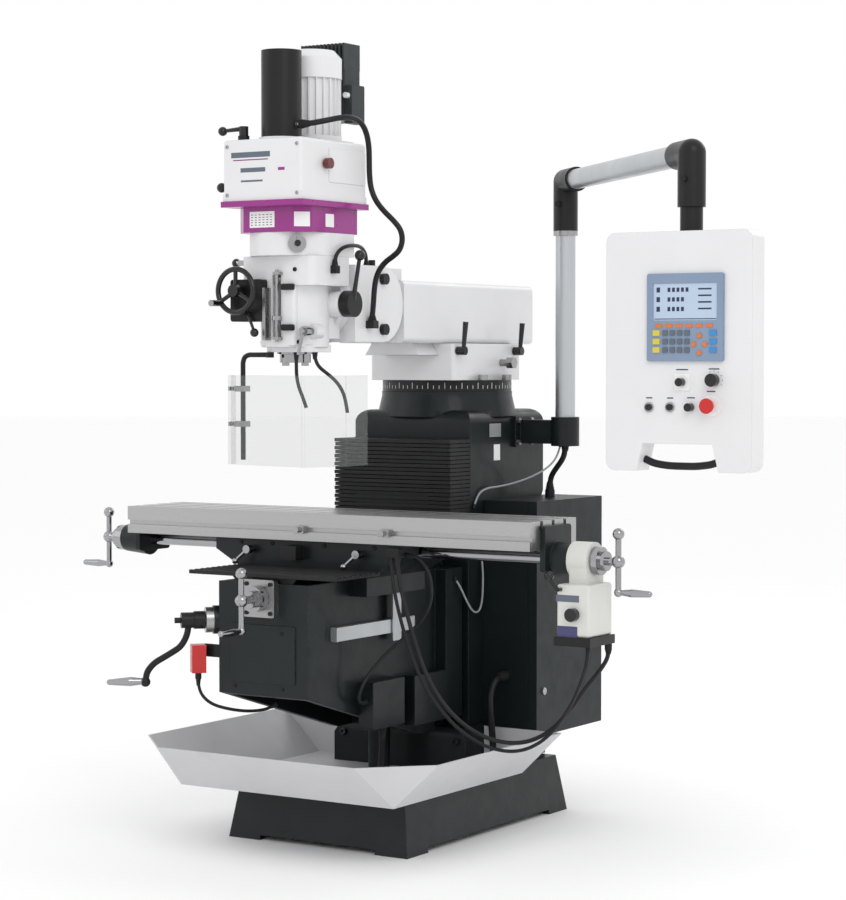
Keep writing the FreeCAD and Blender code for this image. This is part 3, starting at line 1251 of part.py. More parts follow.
ROUTES = {
    "drawbar_switch_conduit": (16, [
        (66, -617, 2040), (94, -617, 2040), (121, -608, 2044), (142, -589, 2050),
        (156, -562, 2057), (165, -530, 2061), (168, -496, 2059), (169, -466, 2046),
        (169, -445, 2021), (168, -433, 1988), (165, -427, 1950), (164, -425, 1910),
        (168, -424, 1872), (182, -422, 1838), (207, -420, 1808), (240, -417, 1779),
        (260, -411, 1754), (263, -406, 1724), (250, -401, 1697), (226, -397, 1681),
        (198, -393, 1667), (174, -389, 1646), (158, -385, 1618), (150, -380, 1586),
        (142, -371, 1558), (133, -361, 1533), (129, -358, 1517),
        (129, -358, 1502)]),
    "swivel_cable": (11, [
        (131, -547, 1652), (131, -547, 1670), (133, -538, 1688), (136, -520, 1701),
        (138, -494, 1708), (136, -460, 1711), (130, -426, 1710), (121, -394, 1704),
        (113, -370, 1692), (109, -361, 1684), (105, -353, 1672),
        (105, -353, 1659)]),
    "coolant_hose": (10, [
        (38, -602, 1412), (38, -602, 1376), (39, -602, 1344), (45, -600, 1314),
        (56, -597, 1288), (66, -594, 1258)]),
    "air_line": (10, [
        (76, -566, 1412), (76, -566, 1392), (88, -563, 1370), (112, -556, 1352),
        (136, -550, 1332), (154, -545, 1306), (162, -540, 1276), (165, -537, 1244)]),
    "table_feed_cable": (12, [
        (312, -509, 846), (312, -509, 808), (328, -500, 722), (340, -468, 616),
        (356, -436, 520), (392, -402, 434), (448, -368, 368), (524, -340, 332),
        (606, -320, 330), (684, -310, 368), (748, -312, 434), (802, -322, 502),
        (846, -335, 545), (876, -346, 580), (885, -350, 600),
        (885, -350, 614)]),
    "table_limit_cable": (10, [
        (292, -509, 846), (292, -509, 804), (308, -504, 710), (320, -472, 606),
        (338, -436, 508), (378, -400, 420), (438, -368, 350), (512, -342, 310),
        (596, -326, 306), (676, -328, 346), (740, -344, 410), (790, -366, 474),
        (826, -386, 534), (850, -400, 590), (850, -400, 630)]),
    "saddle_cable": (10, [
        (320, -470, 850), (338, -470, 850), (356, -467, 843), (369, -459, 827),
        (376, -447, 801), (374, -431, 764), (362, -413, 722), (334, -398, 680),
        (298, -394, 642), (260, -406, 606), (230, -432, 572), (212, -468, 536),
        (197, -499, 499), (186, -512, 460), (180, -504, 440), (176, -486, 430),
        (176, -461, 430)]),
    "knee_conduit": (16, [
        (176, -380, 352), (176, -380, 312), (172, -377, 268), (164, -373, 222),
        (160, -372, 174)]),
    "lift_switch_cable": (9, [
        (-216, -721, 498), (-216, -721, 476), (-208, -713, 448), (-188, -696, 425),
        (-156, -670, 412), (-118, -640, 404),
        (-82, -613, 405), (-58, -595, 413), (-44, -584, 424)]),
    "cabinet_conduit": (20, [
        (285, 116, 450), (285, 82, 450), (285, 50, 432), (285, 32, 400),
        (286, 33, 360), (287, 38, 316), (288, 44, 268), (288, 48, 220),
        (288, 50, 174)]),
    "mast_cable": (17, [
        (360, 350, 1139), (360, 350, 1114), (350, 354, 1090), (327, 363, 1067),
        (302, 373, 1042), (292, 377, 1018), (292, 377, 993)]),
    "lamp_wire": (6, [
        (350, 340, 1139), (346, 334, 1104), (326, 316, 1068), (292, 280, 1040),
        (256, 230, 1020), (230, 176, 1010), (218, 122, 1008), (209, 84, 990),
        (208, 66, 950)]),
    "way_sensor_wires": (6, [
        (193, -20, 750), (203, -4, 724), (210, 18, 682), (213, 44, 650), (215, 66, 638),
        (217, 86, 644), (217, 99, 668), (216, 107, 716), (212, 112, 772),
        (206, 110, 826)]),
}

CABLE_NODES = {
    "head_hoses": ("coolant_hose", "air_line", "drawbar_switch_conduit", "swivel_cable"),
    "trailing_cables": ("table_feed_cable", "table_limit_cable", "saddle_cable",
                        "knee_conduit", "way_sensor_wires", "lift_switch_cable"),
    "column_cables": ("cabinet_conduit", "mast_cable", "lamp_wire"),
}


def cables():
    for name, members in CABLE_NODES.items():
        runs = [hose(member, ROUTES[member][1], ROUTES[member][0]) for member in members]
        node(name, runs[0] if len(runs) == 1 else group(*runs))


for make in (base_casting, chip_tray, column_casting, electrical_cabinet, cabinet_door,
             mast_post, mast_arm, control_panel, readout_unit, panel_controls,
             turret_saddle, turret_levers, ram, ram_adapter, head_casting, quill_feed_box,
             head_levers, gear_housing, speed_range_dial, belt_cover, head_shift_levers,
             spindle_motor, quill_and_spindle, drive_belt, guard, knee_casting, lift_screw,
             cross_feed_screw, knee_lift_crank, knee_electrics, saddle_casting,
             saddle_lock_levers, table, table_fittings, table_feed_screw, power_feed, way_covers, cables):
    make()

doc.recompute()
for thing in doc.Objects:
    if "Invalid" in thing.State or "Error" in thing.State:
        raise SystemExit("%s (%s) failed: %s" % (thing.Name, thing.Label, thing.State))

os.makedirs("parts", exist_ok=True)
for name, thing in NODES.items():
    shape = thing.Shape
    if shape.isNull() or not shape.isValid() or not shape.Solids:
        raise SystemExit("%s has no valid solid" % name)
    shape.exportStep(os.path.join("parts", name + ".step"))
print("%d nodes" % len(NODES))
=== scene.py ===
import json
import math

import bmesh
import bpy
from mathutils import Matrix, Vector
from mathutils.bvhtree import BVHTree


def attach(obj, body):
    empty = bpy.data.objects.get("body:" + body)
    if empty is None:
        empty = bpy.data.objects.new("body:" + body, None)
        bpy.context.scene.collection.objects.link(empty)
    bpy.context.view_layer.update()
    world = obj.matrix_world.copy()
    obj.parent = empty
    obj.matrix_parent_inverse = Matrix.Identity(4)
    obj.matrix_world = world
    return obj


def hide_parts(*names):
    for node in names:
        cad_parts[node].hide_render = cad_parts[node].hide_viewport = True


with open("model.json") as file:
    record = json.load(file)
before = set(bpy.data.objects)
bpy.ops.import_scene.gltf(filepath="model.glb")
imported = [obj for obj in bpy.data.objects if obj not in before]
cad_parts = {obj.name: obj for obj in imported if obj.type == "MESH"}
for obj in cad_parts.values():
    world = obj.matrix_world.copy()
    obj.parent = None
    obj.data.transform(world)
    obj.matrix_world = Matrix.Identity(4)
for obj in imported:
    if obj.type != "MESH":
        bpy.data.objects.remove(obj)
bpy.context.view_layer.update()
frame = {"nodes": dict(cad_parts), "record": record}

# Vertical turret milling machine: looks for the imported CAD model.
# Lengths in the helpers are millimetres in the machine's frame; Blender's objects are in metres.

scene = bpy.context.scene
body_of_node = {node: body for body, nodes in frame["record"]["behaviour"]["bodies"].items()
                for node in nodes}


EYE = (3990, -6151, 1390)
LENS, SENSOR = 98, 36
TILT_DOWN, HEADING = 2.1, 32.5
FLOOR_REACH = 60
FLOOR_TONE = 0.97
DARK_GLOSS = 0.24
SHARP_ANGLE = 35


def mm(*point):
    return Vector(point) / 1000


# ---------------------------------------------------------------- camera, stage and light

def add_camera():
    data = bpy.data.cameras.new("camera")
    data.sensor_width = SENSOR
    data.lens = LENS
    data.clip_end = 60
    camera = bpy.data.objects.new("camera", data)
    scene.collection.objects.link(camera)
    camera.location = mm(*EYE)
    camera.rotation_euler = (math.radians(90 - TILT_DOWN), 0, math.radians(HEADING))
    scene.camera = camera


def add_area_light(name, place, target, size, power):
    data = bpy.data.lights.new(name, "AREA")
    data.shape = "RECTANGLE"
    data.size, data.size_y = size
    data.energy = power
    light = bpy.data.objects.new(name, data)
    scene.collection.objects.link(light)
    light.location = place
    aim = Vector(target) - Vector(place)
    light.rotation_euler = aim.to_track_quat("-Z", "Y").to_euler()


def add_stage():
    mesh = bpy.data.meshes.new("studio_floor")
    corners = ((-1, -1), (1, -1), (1, 1), (-1, 1))
    mesh.from_pydata([(x * FLOOR_REACH, y * FLOOR_REACH, 0) for x, y in corners], [],
                     [(0, 1, 2, 3)])
    floor = bpy.data.objects.new("studio_floor", mesh)
    scene.collection.objects.link(floor)
    material = bpy.data.materials.new("studio_floor")
    material.use_nodes = True
    shader = material.node_tree.nodes["Principled BSDF"]
    shader.inputs["Base Color"].default_value = (FLOOR_TONE, FLOOR_TONE, FLOOR_TONE, 1)
    shader.inputs["Roughness"].default_value = 0.75
    mesh.materials.append(material)
    world = bpy.data.worlds.new("studio")
    world.use_nodes = True
    world.node_tree.nodes["Background"].inputs["Color"].default_value = (1, 1, 1, 1)
    world.node_tree.nodes["Background"].inputs["Strength"].default_value = 1.0
    scene.world = world
    add_area_light("key", (4.2, -3.6, 4.6), (0, 0, 1.1), (3.0, 3.0), 70)
    add_area_light("left", (-4.6, -3.8, 3.2), (0, -0.2, 1.0), (2.4, 3.6), 14)
    add_area_light("rim", (1.5, 5.0, 4.4), (0, 0, 1.2), (3.0, 2.0), 30)
    scene.view_settings.view_transform = "Standard"


# ---------------------------------------------------------------- materials

def link(tree, source, output, target, socket):
    tree.links.new(source.outputs[output], target.inputs[socket])


def add_noise(tree, coordinates, scale, detail, stretch=(1, 1, 1)):
    mapping = tree.nodes.new("ShaderNodeMapping")
    mapping.inputs["Scale"].default_value = stretch
    noise = tree.nodes.new("ShaderNodeTexNoise")
    noise.inputs["Scale"].default_value = scale
    noise.inputs["Detail"].default_value = detail
    link(tree, coordinates, "Object", mapping, "Vector")
    link(tree, mapping, "Vector", noise, "Vector")
    return noise


def add_range(tree, source, output, low, high, to_low, to_high):
    ranges = tree.nodes.new("ShaderNodeMapRange")
    for socket, value in zip(("From Min", "From Max", "To Min", "To Max"),
                             (low, high, to_low, to_high)):
        ranges.inputs[socket].default_value = value
    link(tree, source, output, ranges, "Value")
    return ranges


def make_material(name, color, rough, metal=0.0, coat=0.0, bevel=1.5, spread=0.06,
                  grain=(900, 0.04), skin=(60, 0.0), wear=None, stretch=(1, 1, 1),
                  rough_spread=0.06, specular=0.5, alpha=1.0):
    """A procedural finish: tone variation, grain and cast-skin bump, soft and worn edges."""
    material = bpy.data.materials.new(name)
    material.use_nodes = True
    tree = material.node_tree
    shader = tree.nodes["Principled BSDF"]
    shader.inputs["Metallic"].default_value = metal
    shader.inputs["Coat Weight"].default_value = coat
    shader.inputs["Coat Roughness"].default_value = 0.12
    shader.inputs["Specular IOR Level"].default_value = specular
    shader.inputs["Alpha"].default_value = alpha
    coordinates = tree.nodes.new("ShaderNodeTexCoord")
    cloud = add_noise(tree, coordinates, 4.5, 5, stretch)
    tone = add_range(tree, cloud, "Fac", 0.3, 0.7, 1 - spread, 1 + spread)
    mix = tree.nodes.new("ShaderNodeMix")
    mix.data_type = "RGBA"
    mix.blend_type = "MULTIPLY"
    mix.inputs["Factor"].default_value = 1.0
    mix.inputs[6].default_value = (*color, 1)
    link(tree, tone, "Result", mix, 7)
    last, last_output = mix, 2
    soft = tree.nodes.new("ShaderNodeBevel")
    soft.samples = 4
    soft.inputs["Radius"].default_value = bevel / 1000
    if wear:
        geometry = tree.nodes.new("ShaderNodeNewGeometry")
        dot = tree.nodes.new("ShaderNodeVectorMath")
        dot.operation = "DOT_PRODUCT"
        tree.links.new(soft.outputs[0], dot.inputs[0])
        tree.links.new(geometry.outputs["Normal"], dot.inputs[1])
        edge = add_range(tree, dot, "Value", 0.995, 0.86, 0, 1)
        chips = add_noise(tree, coordinates, 130, 6)
        bite = add_range(tree, chips, "Fac", 0.42, 0.62, 0, wear[1])
        product = tree.nodes.new("ShaderNodeMath")
        product.operation = "MULTIPLY"
        tree.links.new(edge.outputs[0], product.inputs[0])
        tree.links.new(bite.outputs[0], product.inputs[1])
        worn = tree.nodes.new("ShaderNodeMix")
        worn.data_type = "RGBA"
        tree.links.new(product.outputs[0], worn.inputs["Factor"])
        tree.links.new(mix.outputs[2], worn.inputs[6])
        worn.inputs[7].default_value = (*wear[0], 1)
        last = worn
    tree.links.new(last.outputs[last_output], shader.inputs["Base Color"])
    gloss = add_noise(tree, coordinates, 22, 6, stretch)
    polish = add_range(tree, gloss, "Fac", 0.3, 0.7, max(0.02, rough - rough_spread),
                       rough + rough_spread)
    tree.links.new(polish.outputs[0], shader.inputs["Roughness"])
    fine = add_noise(tree, coordinates, grain[0], 3, stretch)
    bump = tree.nodes.new("ShaderNodeBump")
    bump.inputs["Strength"].default_value = grain[1]
    bump.inputs["Distance"].default_value = 0.0006
    link(tree, fine, "Fac", bump, "Height")
    link(tree, soft, "Normal", bump, "Normal")
    if skin[1]:
        broad = add_noise(tree, coordinates, skin[0], 3)
        swell = tree.nodes.new("ShaderNodeBump")
        swell.inputs["Strength"].default_value = skin[1]
        swell.inputs["Distance"].default_value = 0.002
        link(tree, broad, "Fac", swell, "Height")
        link(tree, bump, "Normal", swell, "Normal")
        bump = swell
    link(tree, bump, "Normal", shader, "Normal")
    return material


BARE = (0.32, 0.32, 0.31)
finish = {
    "dark": make_material("dark_enamel_casting", (0.006, 0.0095, 0.0100), 0.42, coat=0.12,
                          bevel=4, spread=0.2, grain=(420, 0.10), skin=(34, 0.22),
                          wear=((0.06, 0.07, 0.07), 0.5), specular=DARK_GLOSS),
    "sheet_dark": make_material("dark_enamel_sheet", (0.006, 0.0105, 0.0110), 0.46, coat=0.06,
                                bevel=1.5, spread=0.14, grain=(700, 0.12), specular=DARK_GLOSS),
    "white": make_material("white_enamel_casting", (0.70, 0.70, 0.71), 0.34, coat=0.25,
                           bevel=3.5, spread=0.025, grain=(500, 0.06), skin=(40, 0.10),
                           wear=((0.45, 0.45, 0.45), 0.35)),
    "sheet_white": make_material("white_enamel_sheet", (0.71, 0.71, 0.72), 0.38, coat=0.15,
                                 bevel=2, spread=0.02, grain=(900, 0.05)),
    "tray": make_material("grey_enamel_tray", (0.60, 0.60, 0.62), 0.42, bevel=1.5,
                          spread=0.04, grain=(600, 0.08), wear=(BARE, 0.25)),
    "magenta": make_material("magenta_enamel", (0.27, 0.008, 0.20), 0.32, coat=0.35, bevel=2,
                             spread=0.05, grain=(900, 0.05)),
    "aluminium": make_material("satin_aluminium", (0.50, 0.52, 0.54), 0.36, metal=0.85,
                               bevel=1, spread=0.04, grain=(1400, 0.08), stretch=(1, 1, 0.05)),
    "ground": make_material("ground_table_iron", (0.40, 0.40, 0.40), 0.30, metal=0.9,
                            bevel=1, spread=0.10, grain=(900, 0.10), stretch=(0.04, 1, 1),
                            wear=((0.62, 0.62, 0.62), 0.6)),
    "steel": make_material("machined_steel", (0.36, 0.36, 0.36), 0.28, metal=0.95, bevel=0.8,
                           spread=0.08, grain=(1500, 0.06)),
    "chrome": make_material("polished_chrome", (0.36, 0.36, 0.37), 0.10, metal=1.0, bevel=1,
                            spread=0.03, grain=(600, 0.015), rough_spread=0.03),
    "black": make_material("black_moulding", (0.012, 0.012, 0.013), 0.34, bevel=1.2,
                           spread=0.12, grain=(1200, 0.10), specular=DARK_GLOSS),
    "knob": make_material("black_bakelite", (0.010, 0.010, 0.010), 0.16, coat=0.4, bevel=0.8,
                          spread=0.08, grain=(500, 0.02), rough_spread=0.04, specular=DARK_GLOSS),
    "rubber": make_material("black_rubber", (0.016, 0.016, 0.017), 0.52, bevel=0.8,
                            spread=0.15, grain=(1600, 0.15), specular=DARK_GLOSS),
    "grey_cable": make_material("grey_cable_sheath", (0.30, 0.31, 0.32), 0.5, bevel=0.5,
                                spread=0.08, grain=(1600, 0.12)),
    "red": make_material("red_moulding", (0.52, 0.012, 0.012), 0.30, bevel=1.2, spread=0.06,
                         grain=(1100, 0.05)),
    "brown": make_material("oxblood_knob", (0.12, 0.012, 0.012), 0.25, coat=0.3, bevel=1,
                           spread=0.08, grain=(800, 0.04)),
    "inverter": make_material("grey_inverter_casting", (0.030, 0.036, 0.037), 0.46, bevel=1.2,
                              spread=0.12, grain=(500, 0.14), specular=DARK_GLOSS),
    "feed_case": make_material("ivory_feed_case", (0.62, 0.62, 0.59), 0.40, bevel=3,
                               spread=0.04, grain=(800, 0.12)),
    "feed_panel": make_material("violet_feed_panel", (0.05, 0.045, 0.14), 0.35, bevel=0.5,
                                spread=0.1, grain=(900, 0.05)),
    "bezel": make_material("blue_grey_bezel", (0.20, 0.27, 0.38), 0.38, bevel=1.5,
                           spread=0.05, grain=(900, 0.06)),
    "screen": make_material("display_glass", (0.42, 0.52, 0.66), 0.12, coat=0.6, bevel=0.4,
                            spread=0.03, grain=(300, 0.01)),
    "ink": make_material("display_ink", (0.012, 0.016, 0.06), 0.4, bevel=0.1, spread=0.05,
                         grain=(900, 0.02)),
    "key": make_material("slate_keys", (0.10, 0.12, 0.16), 0.4, bevel=0.8, spread=0.1,
                         grain=(900, 0.06)),
    "yellow": make_material("yellow_keys", (0.62, 0.50, 0.06), 0.4, bevel=0.8, spread=0.06,
                            grain=(900, 0.06)),
    "blue": make_material("blue_keys", (0.04, 0.22, 0.50), 0.4, bevel=0.8, spread=0.06,
                          grain=(900, 0.06)),
    "orange": make_material("orange_keys", (0.60, 0.16, 0.04), 0.4, bevel=0.8, spread=0.06,
                            grain=(900, 0.06)),
    "label": make_material("white_label", (0.80, 0.80, 0.80), 0.35, bevel=0.2, spread=0.02,
                           grain=(900, 0.03)),
    "plate": make_material("silver_nameplate", (0.45, 0.46, 0.47), 0.38, metal=0.6, bevel=0.3,
                           spread=0.05, grain=(900, 0.05)),
    "clear": make_material("clear_acrylic", (0.30, 0.31, 0.31), 0.06, bevel=0.5,
                           spread=0.01, grain=(200, 0.004), rough_spread=0.01, alpha=0.13),
    "clear_edge": make_material("acrylic_edge", (0.20, 0.22, 0.22), 0.2, bevel=0.5,
                                spread=0.02, grain=(200, 0.01), alpha=0.75),
}


# ---------------------------------------------------------------- mesh helpers

def dress(name, bm, body, finishes, smooth=SHARP_ANGLE, replaced=()):
    """Turn built geometry into a piece that rides on a body."""
    mesh = bpy.data.meshes.new(name)
    bm.normal_update()
    bm.to_mesh(mesh)
    bm.free()
    for key in finishes:
        mesh.materials.append(finish[key])
    mesh.shade_smooth()
    mesh.set_sharp_from_angle(angle=math.radians(smooth))
    piece = bpy.data.objects.new(name, mesh)
    scene.collection.objects.link(piece)
    even = piece.modifiers.new("even_normals", "WEIGHTED_NORMAL")
    even.keep_sharp = True
    even.weight = 80
    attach(piece, body)
    if replaced:
        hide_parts(*replaced)
    return piece


def shells(mesh):
    """The mesh's closed surfaces, one by one, as (points, faces); touching solids stay apart."""
    keys = [tuple(round(value * 1e6) for value in vertex.co) for vertex in mesh.vertices]
    faces, unmatched = [], set()
    for polygon in mesh.polygons:
        corners = [keys[index] for index in polygon.vertices]
        if len(set(corners)) < 3:
            continue
        faces.append([tuple(mesh.vertices[index].co) for index in polygon.vertices])
        for start, end in zip(corners, corners[1:] + corners[:1]):
            if (end, start) in unmatched:
                unmatched.remove((end, start))
            else:
                unmatched.add((start, end))
        if not unmatched:
            yield faces
            faces = []
    if faces:
        yield faces


def paint(node, finishes, rule=None, face_rule=None, smooth=SHARP_ANGLE):
    """Dress a copy of a CAD node, each of its solids or faces in its own finish."""
    bm = bmesh.new()
    for faces in shells(frame["nodes"][node].data):
        corners = [Vector(corner) * 1000 for face in faces for corner in face]
        low = Vector([min(corner[axis] for corner in corners) for axis in range(3)])
        high = Vector([max(corner[axis] for corner in corners) for axis in range(3)])
        index = rule((low + high) / 2, high - low) if rule else 0
        made = {}
        for face in faces:
            verts = []
            for corner in face:
                key = tuple(round(value * 1e6) for value in corner)
                if key not in made:
                    made[key] = bm.verts.new(corner)
                verts.append(made[key])
            new = bm.faces.new(verts)
            new.normal_update()
            new.material_index = index
            if face_rule:
                new.material_index = face_rule(new.calc_center_median() * 1000,
                                               new.normal, index)
    return dress(node + "_finished", bm, body_of_node[node], finishes,
                 smooth, (node,))


def basis(axis):
    """A rotation that takes +Z onto axis."""
    return Vector((0, 0, 1)).rotation_difference(Vector(axis)).to_matrix().to_4x4()


def lathe(bm, outline, foot, axis, steps=40, index=0):
    """Revolve (radius, height) points about an axis that starts at foot."""
    turn = Matrix.Translation(mm(*foot)) @ basis(axis)
    rings = []
    for radius, height in outline:
        if radius < 1e-6:
            rings.append([bm.verts.new(turn @ mm(0, 0, height))])
            continue
        rings.append([bm.verts.new(turn @ mm(
            radius * math.cos(2 * math.pi * step / steps),
            radius * math.sin(2 * math.pi * step / steps), height))
            for step in range(steps)])
    for low, high in zip(rings, rings[1:]):
        for step in range(steps):
            after = (step + 1) % steps
            corners = [low[step % len(low)], low[after % len(low)],
                       high[after % len(high)], high[step % len(high)]]
            unique = list(dict.fromkeys(corners))
            if len(unique) > 2:
                bm.faces.new(unique).material_index = index
    for ring, flip in ((rings[0], True), (rings[-1], False)):
        if len(ring) > 2:
            bm.faces.new(reversed(ring) if flip else ring).material_index = index


def slab(bm, low, high, index=0, turn=None, soften=0.0):
    """A box with softened edges, optionally turned by a matrix given in metres."""
    low, high = mm(*low), mm(*high)
    before = set(bm.faces)
    made = bmesh.ops.create_cube(bm, size=1)
    matrix = Matrix.Translation((low + high) / 2) @ Matrix.Diagonal((*(high - low), 1))
    bmesh.ops.transform(bm, matrix=matrix, verts=made["verts"])
    if soften:
        edges = {edge for vertex in made["verts"] for edge in vertex.link_edges}
        bmesh.ops.bevel(bm, geom=list(edges), offset=soften / 1000, segments=2,
                        affect="EDGES", profile=0.6)
    faces = [face for face in bm.faces if face not in before]
    for face in faces:
        face.material_index = index
    if turn:
        verts = {vertex for face in faces for vertex in face.verts}
        bmesh.ops.transform(bm, matrix=turn, verts=list(verts))


def bolt_outline(radius, height, socket=0.5):
    """A socket-head screw: rounded head with a recess."""
    chamfer = radius * 0.16
    return [(radius, 0), (radius, height - chamfer), (radius - chamfer, height),
            (radius * socket, height), (radius * socket * 0.94, height * 0.45),
            (0, height * 0.42)]


# ---------------------------------------------------------------- castings and sheet metal
# A rule picks a solid's finish from its middle and size; a face rule, from a face's middle.

def dress_castings():
    for node in ("base_casting", "column_casting"):
        paint(node, ["dark"])
    paint("chip_tray", ["tray"])
    paint("electrical_cabinet", ["sheet_dark"])
    paint("cabinet_door", ["sheet_dark", "steel"],
          face_rule=lambda point, normal, index: int(point.x > 388.2))
    paint("saddle_casting", ["dark", "aluminium", "black"],
          lambda middle, size: 1 if size.x < 6 else 2 if size.x < 60 else 0)
    paint("knee_casting", ["dark", "steel", "black"],
          lambda middle, size: 2 if size.x < 20 else 1 if size.x < 110 else 0)
    paint("table", ["ground"])
    paint("table_fittings", ["dark", "steel"], lambda middle, size: 0 if size.z > 60 else 1)
    paint("turret_saddle", ["black", "white", "steel"],
          lambda middle, size: 2 if size.x < 60 else 1 if middle.z > 1340 else 0)
    paint("ram", ["white"])
    paint("ram_adapter", ["white", "black"], lambda middle, size: int(size.x < 60))
    paint("head_casting", ["white", "black"], lambda middle, size: int(size.x < 60))
    paint("spindle_gear_housing", ["white", "magenta"],
          lambda middle, size: int(middle.z > 1745))
    paint("belt_cover", ["sheet_white", "brown", "black", "chrome"],
          lambda middle, size: 0 if size.x > 200 or size.x < 3 else
          2 if size.z > 150 or size.x > 25 or middle.x < 0 else 3 if middle.z > 2000 else 1)
    paint("spindle_motor", ["sheet_white", "inverter", "label"],
          lambda middle, size: 2 if size.y < 15 and size.x < 20 else
          1 if middle.y > -400 else 0)


def dress_controls():
    paint("mast_post", ["aluminium", "black", "steel", "dark"],
          lambda middle, size: 2 if size.z < 20 else 0 if size.z > 300 else
          1 if size.z < 40 else 3)
    paint("mast_arm", ["black", "aluminium"], lambda middle, size: int(size.x > 400))
    paint("control_panel_housing", ["sheet_white", "black", "chrome", "label"],
          lambda middle, size: 0 if size.x > 300 else 1 if size.x > 50 and size.z < 60
          and middle.z < 1180 else 1 if middle.z > 1700 else 2 if size.x < 30 else 3)
    paint("readout_unit", ["bezel", "screen", "key", "yellow", "blue", "orange"],
          readout_rule)
    for node in ("start_button", "stop_button", "direction_switch", "spindle_speed_knob",
                 "mode_selector"):
        paint(node, ["knob"])
    paint("emergency_stop", ["red"])


def readout_rule(middle, size):
    if size.x > 200:
        return 0
    if size.x > 100:
        return 1
    if abs(size.x - size.z) < 0.5 and size.x < 14.5:
        return 5
    if middle.x < 1075:
        return 3
    return 4 if middle.x > 1215 else 2


def dress_head():
    paint("quill_feed_box", ["black", "steel", "chrome"],
          lambda middle, size: 0 if size.x > 50 else 2 if size.x > 20 else 1)
    for node in ("quill", "spindle", "quill_lock_lever", "speed_range_dial"):
        paint(node, ["chrome"])
    paint("feed_trip_lever", ["knob"])
    paint("feed_engage_knob", ["chrome", "knob"],
          face_rule=lambda point, normal, index: int(point.x < -151))
    for node in ("spindle_pulley", "motor_pulley"):
        paint(node, ["steel"])
    paint("drive_belt", ["rubber"])
    for node in ("brake_lever", "range_lever", "ram_lock_lever_front",
                 "ram_lock_lever_rear"):
        paint(node, ["knob"])
    paint("ram_feed_knob", ["steel"])
    paint("quill_handwheel", ["knob", "chrome"],
          face_rule=lambda point, normal, index: int(point.y < -715))
    paint("quill_feed_lever", ["black", "knob"],
          face_rule=lambda point, normal, index: int(point.x >= 158.5 or point.z >= 1590))
    paint("guard_rod", ["black"])
    paint("guard_screen", ["clear", "steel", "clear_edge"],
          lambda middle, size: int(size.z < 60),
          lambda point, normal, index: index or 2 * int(abs(normal.z) > 0.9))


def dress_knee():
    paint("knee_electrics", ["dark", "red", "black", "aluminium"],
          lambda middle, size: 0 if middle.x > 0 and size.z > 100 else 3 if middle.x > 0
          else 1 if size.z > 60 else 2)
    for node in ("cross_feed_screw", "table_feed_screw", "saddle_lock_lever_left",
                 "saddle_lock_lever_right"):
        paint(node, ["chrome"])
    paint("lift_screw", ["steel"])
    paint("knee_lift_crank", ["black", "steel", "chrome"], face_rule=crank_rule)
    paint("power_feed_unit", ["feed_case", "black"],
          lambda middle, size: int(size.z < 60))
    for node in ("power_feed_dial", "power_feed_lever"):
        paint(node, ["knob"])


def crank_rule(point, normal, index):
    """Silver for the crank's dial, chrome for its handle, black elsewhere."""
    hub_x, hub_y = -151, -656
    dial_near, dial_far, handle_near = 48, 73, 252
    outward = ((hub_x - point.x) + (hub_y - point.y)) * math.sqrt(0.5)
    if dial_near < outward < dial_far:
        return 1
    return 2 if outward > handle_near else 0


# ---------------------------------------------------------------- cables

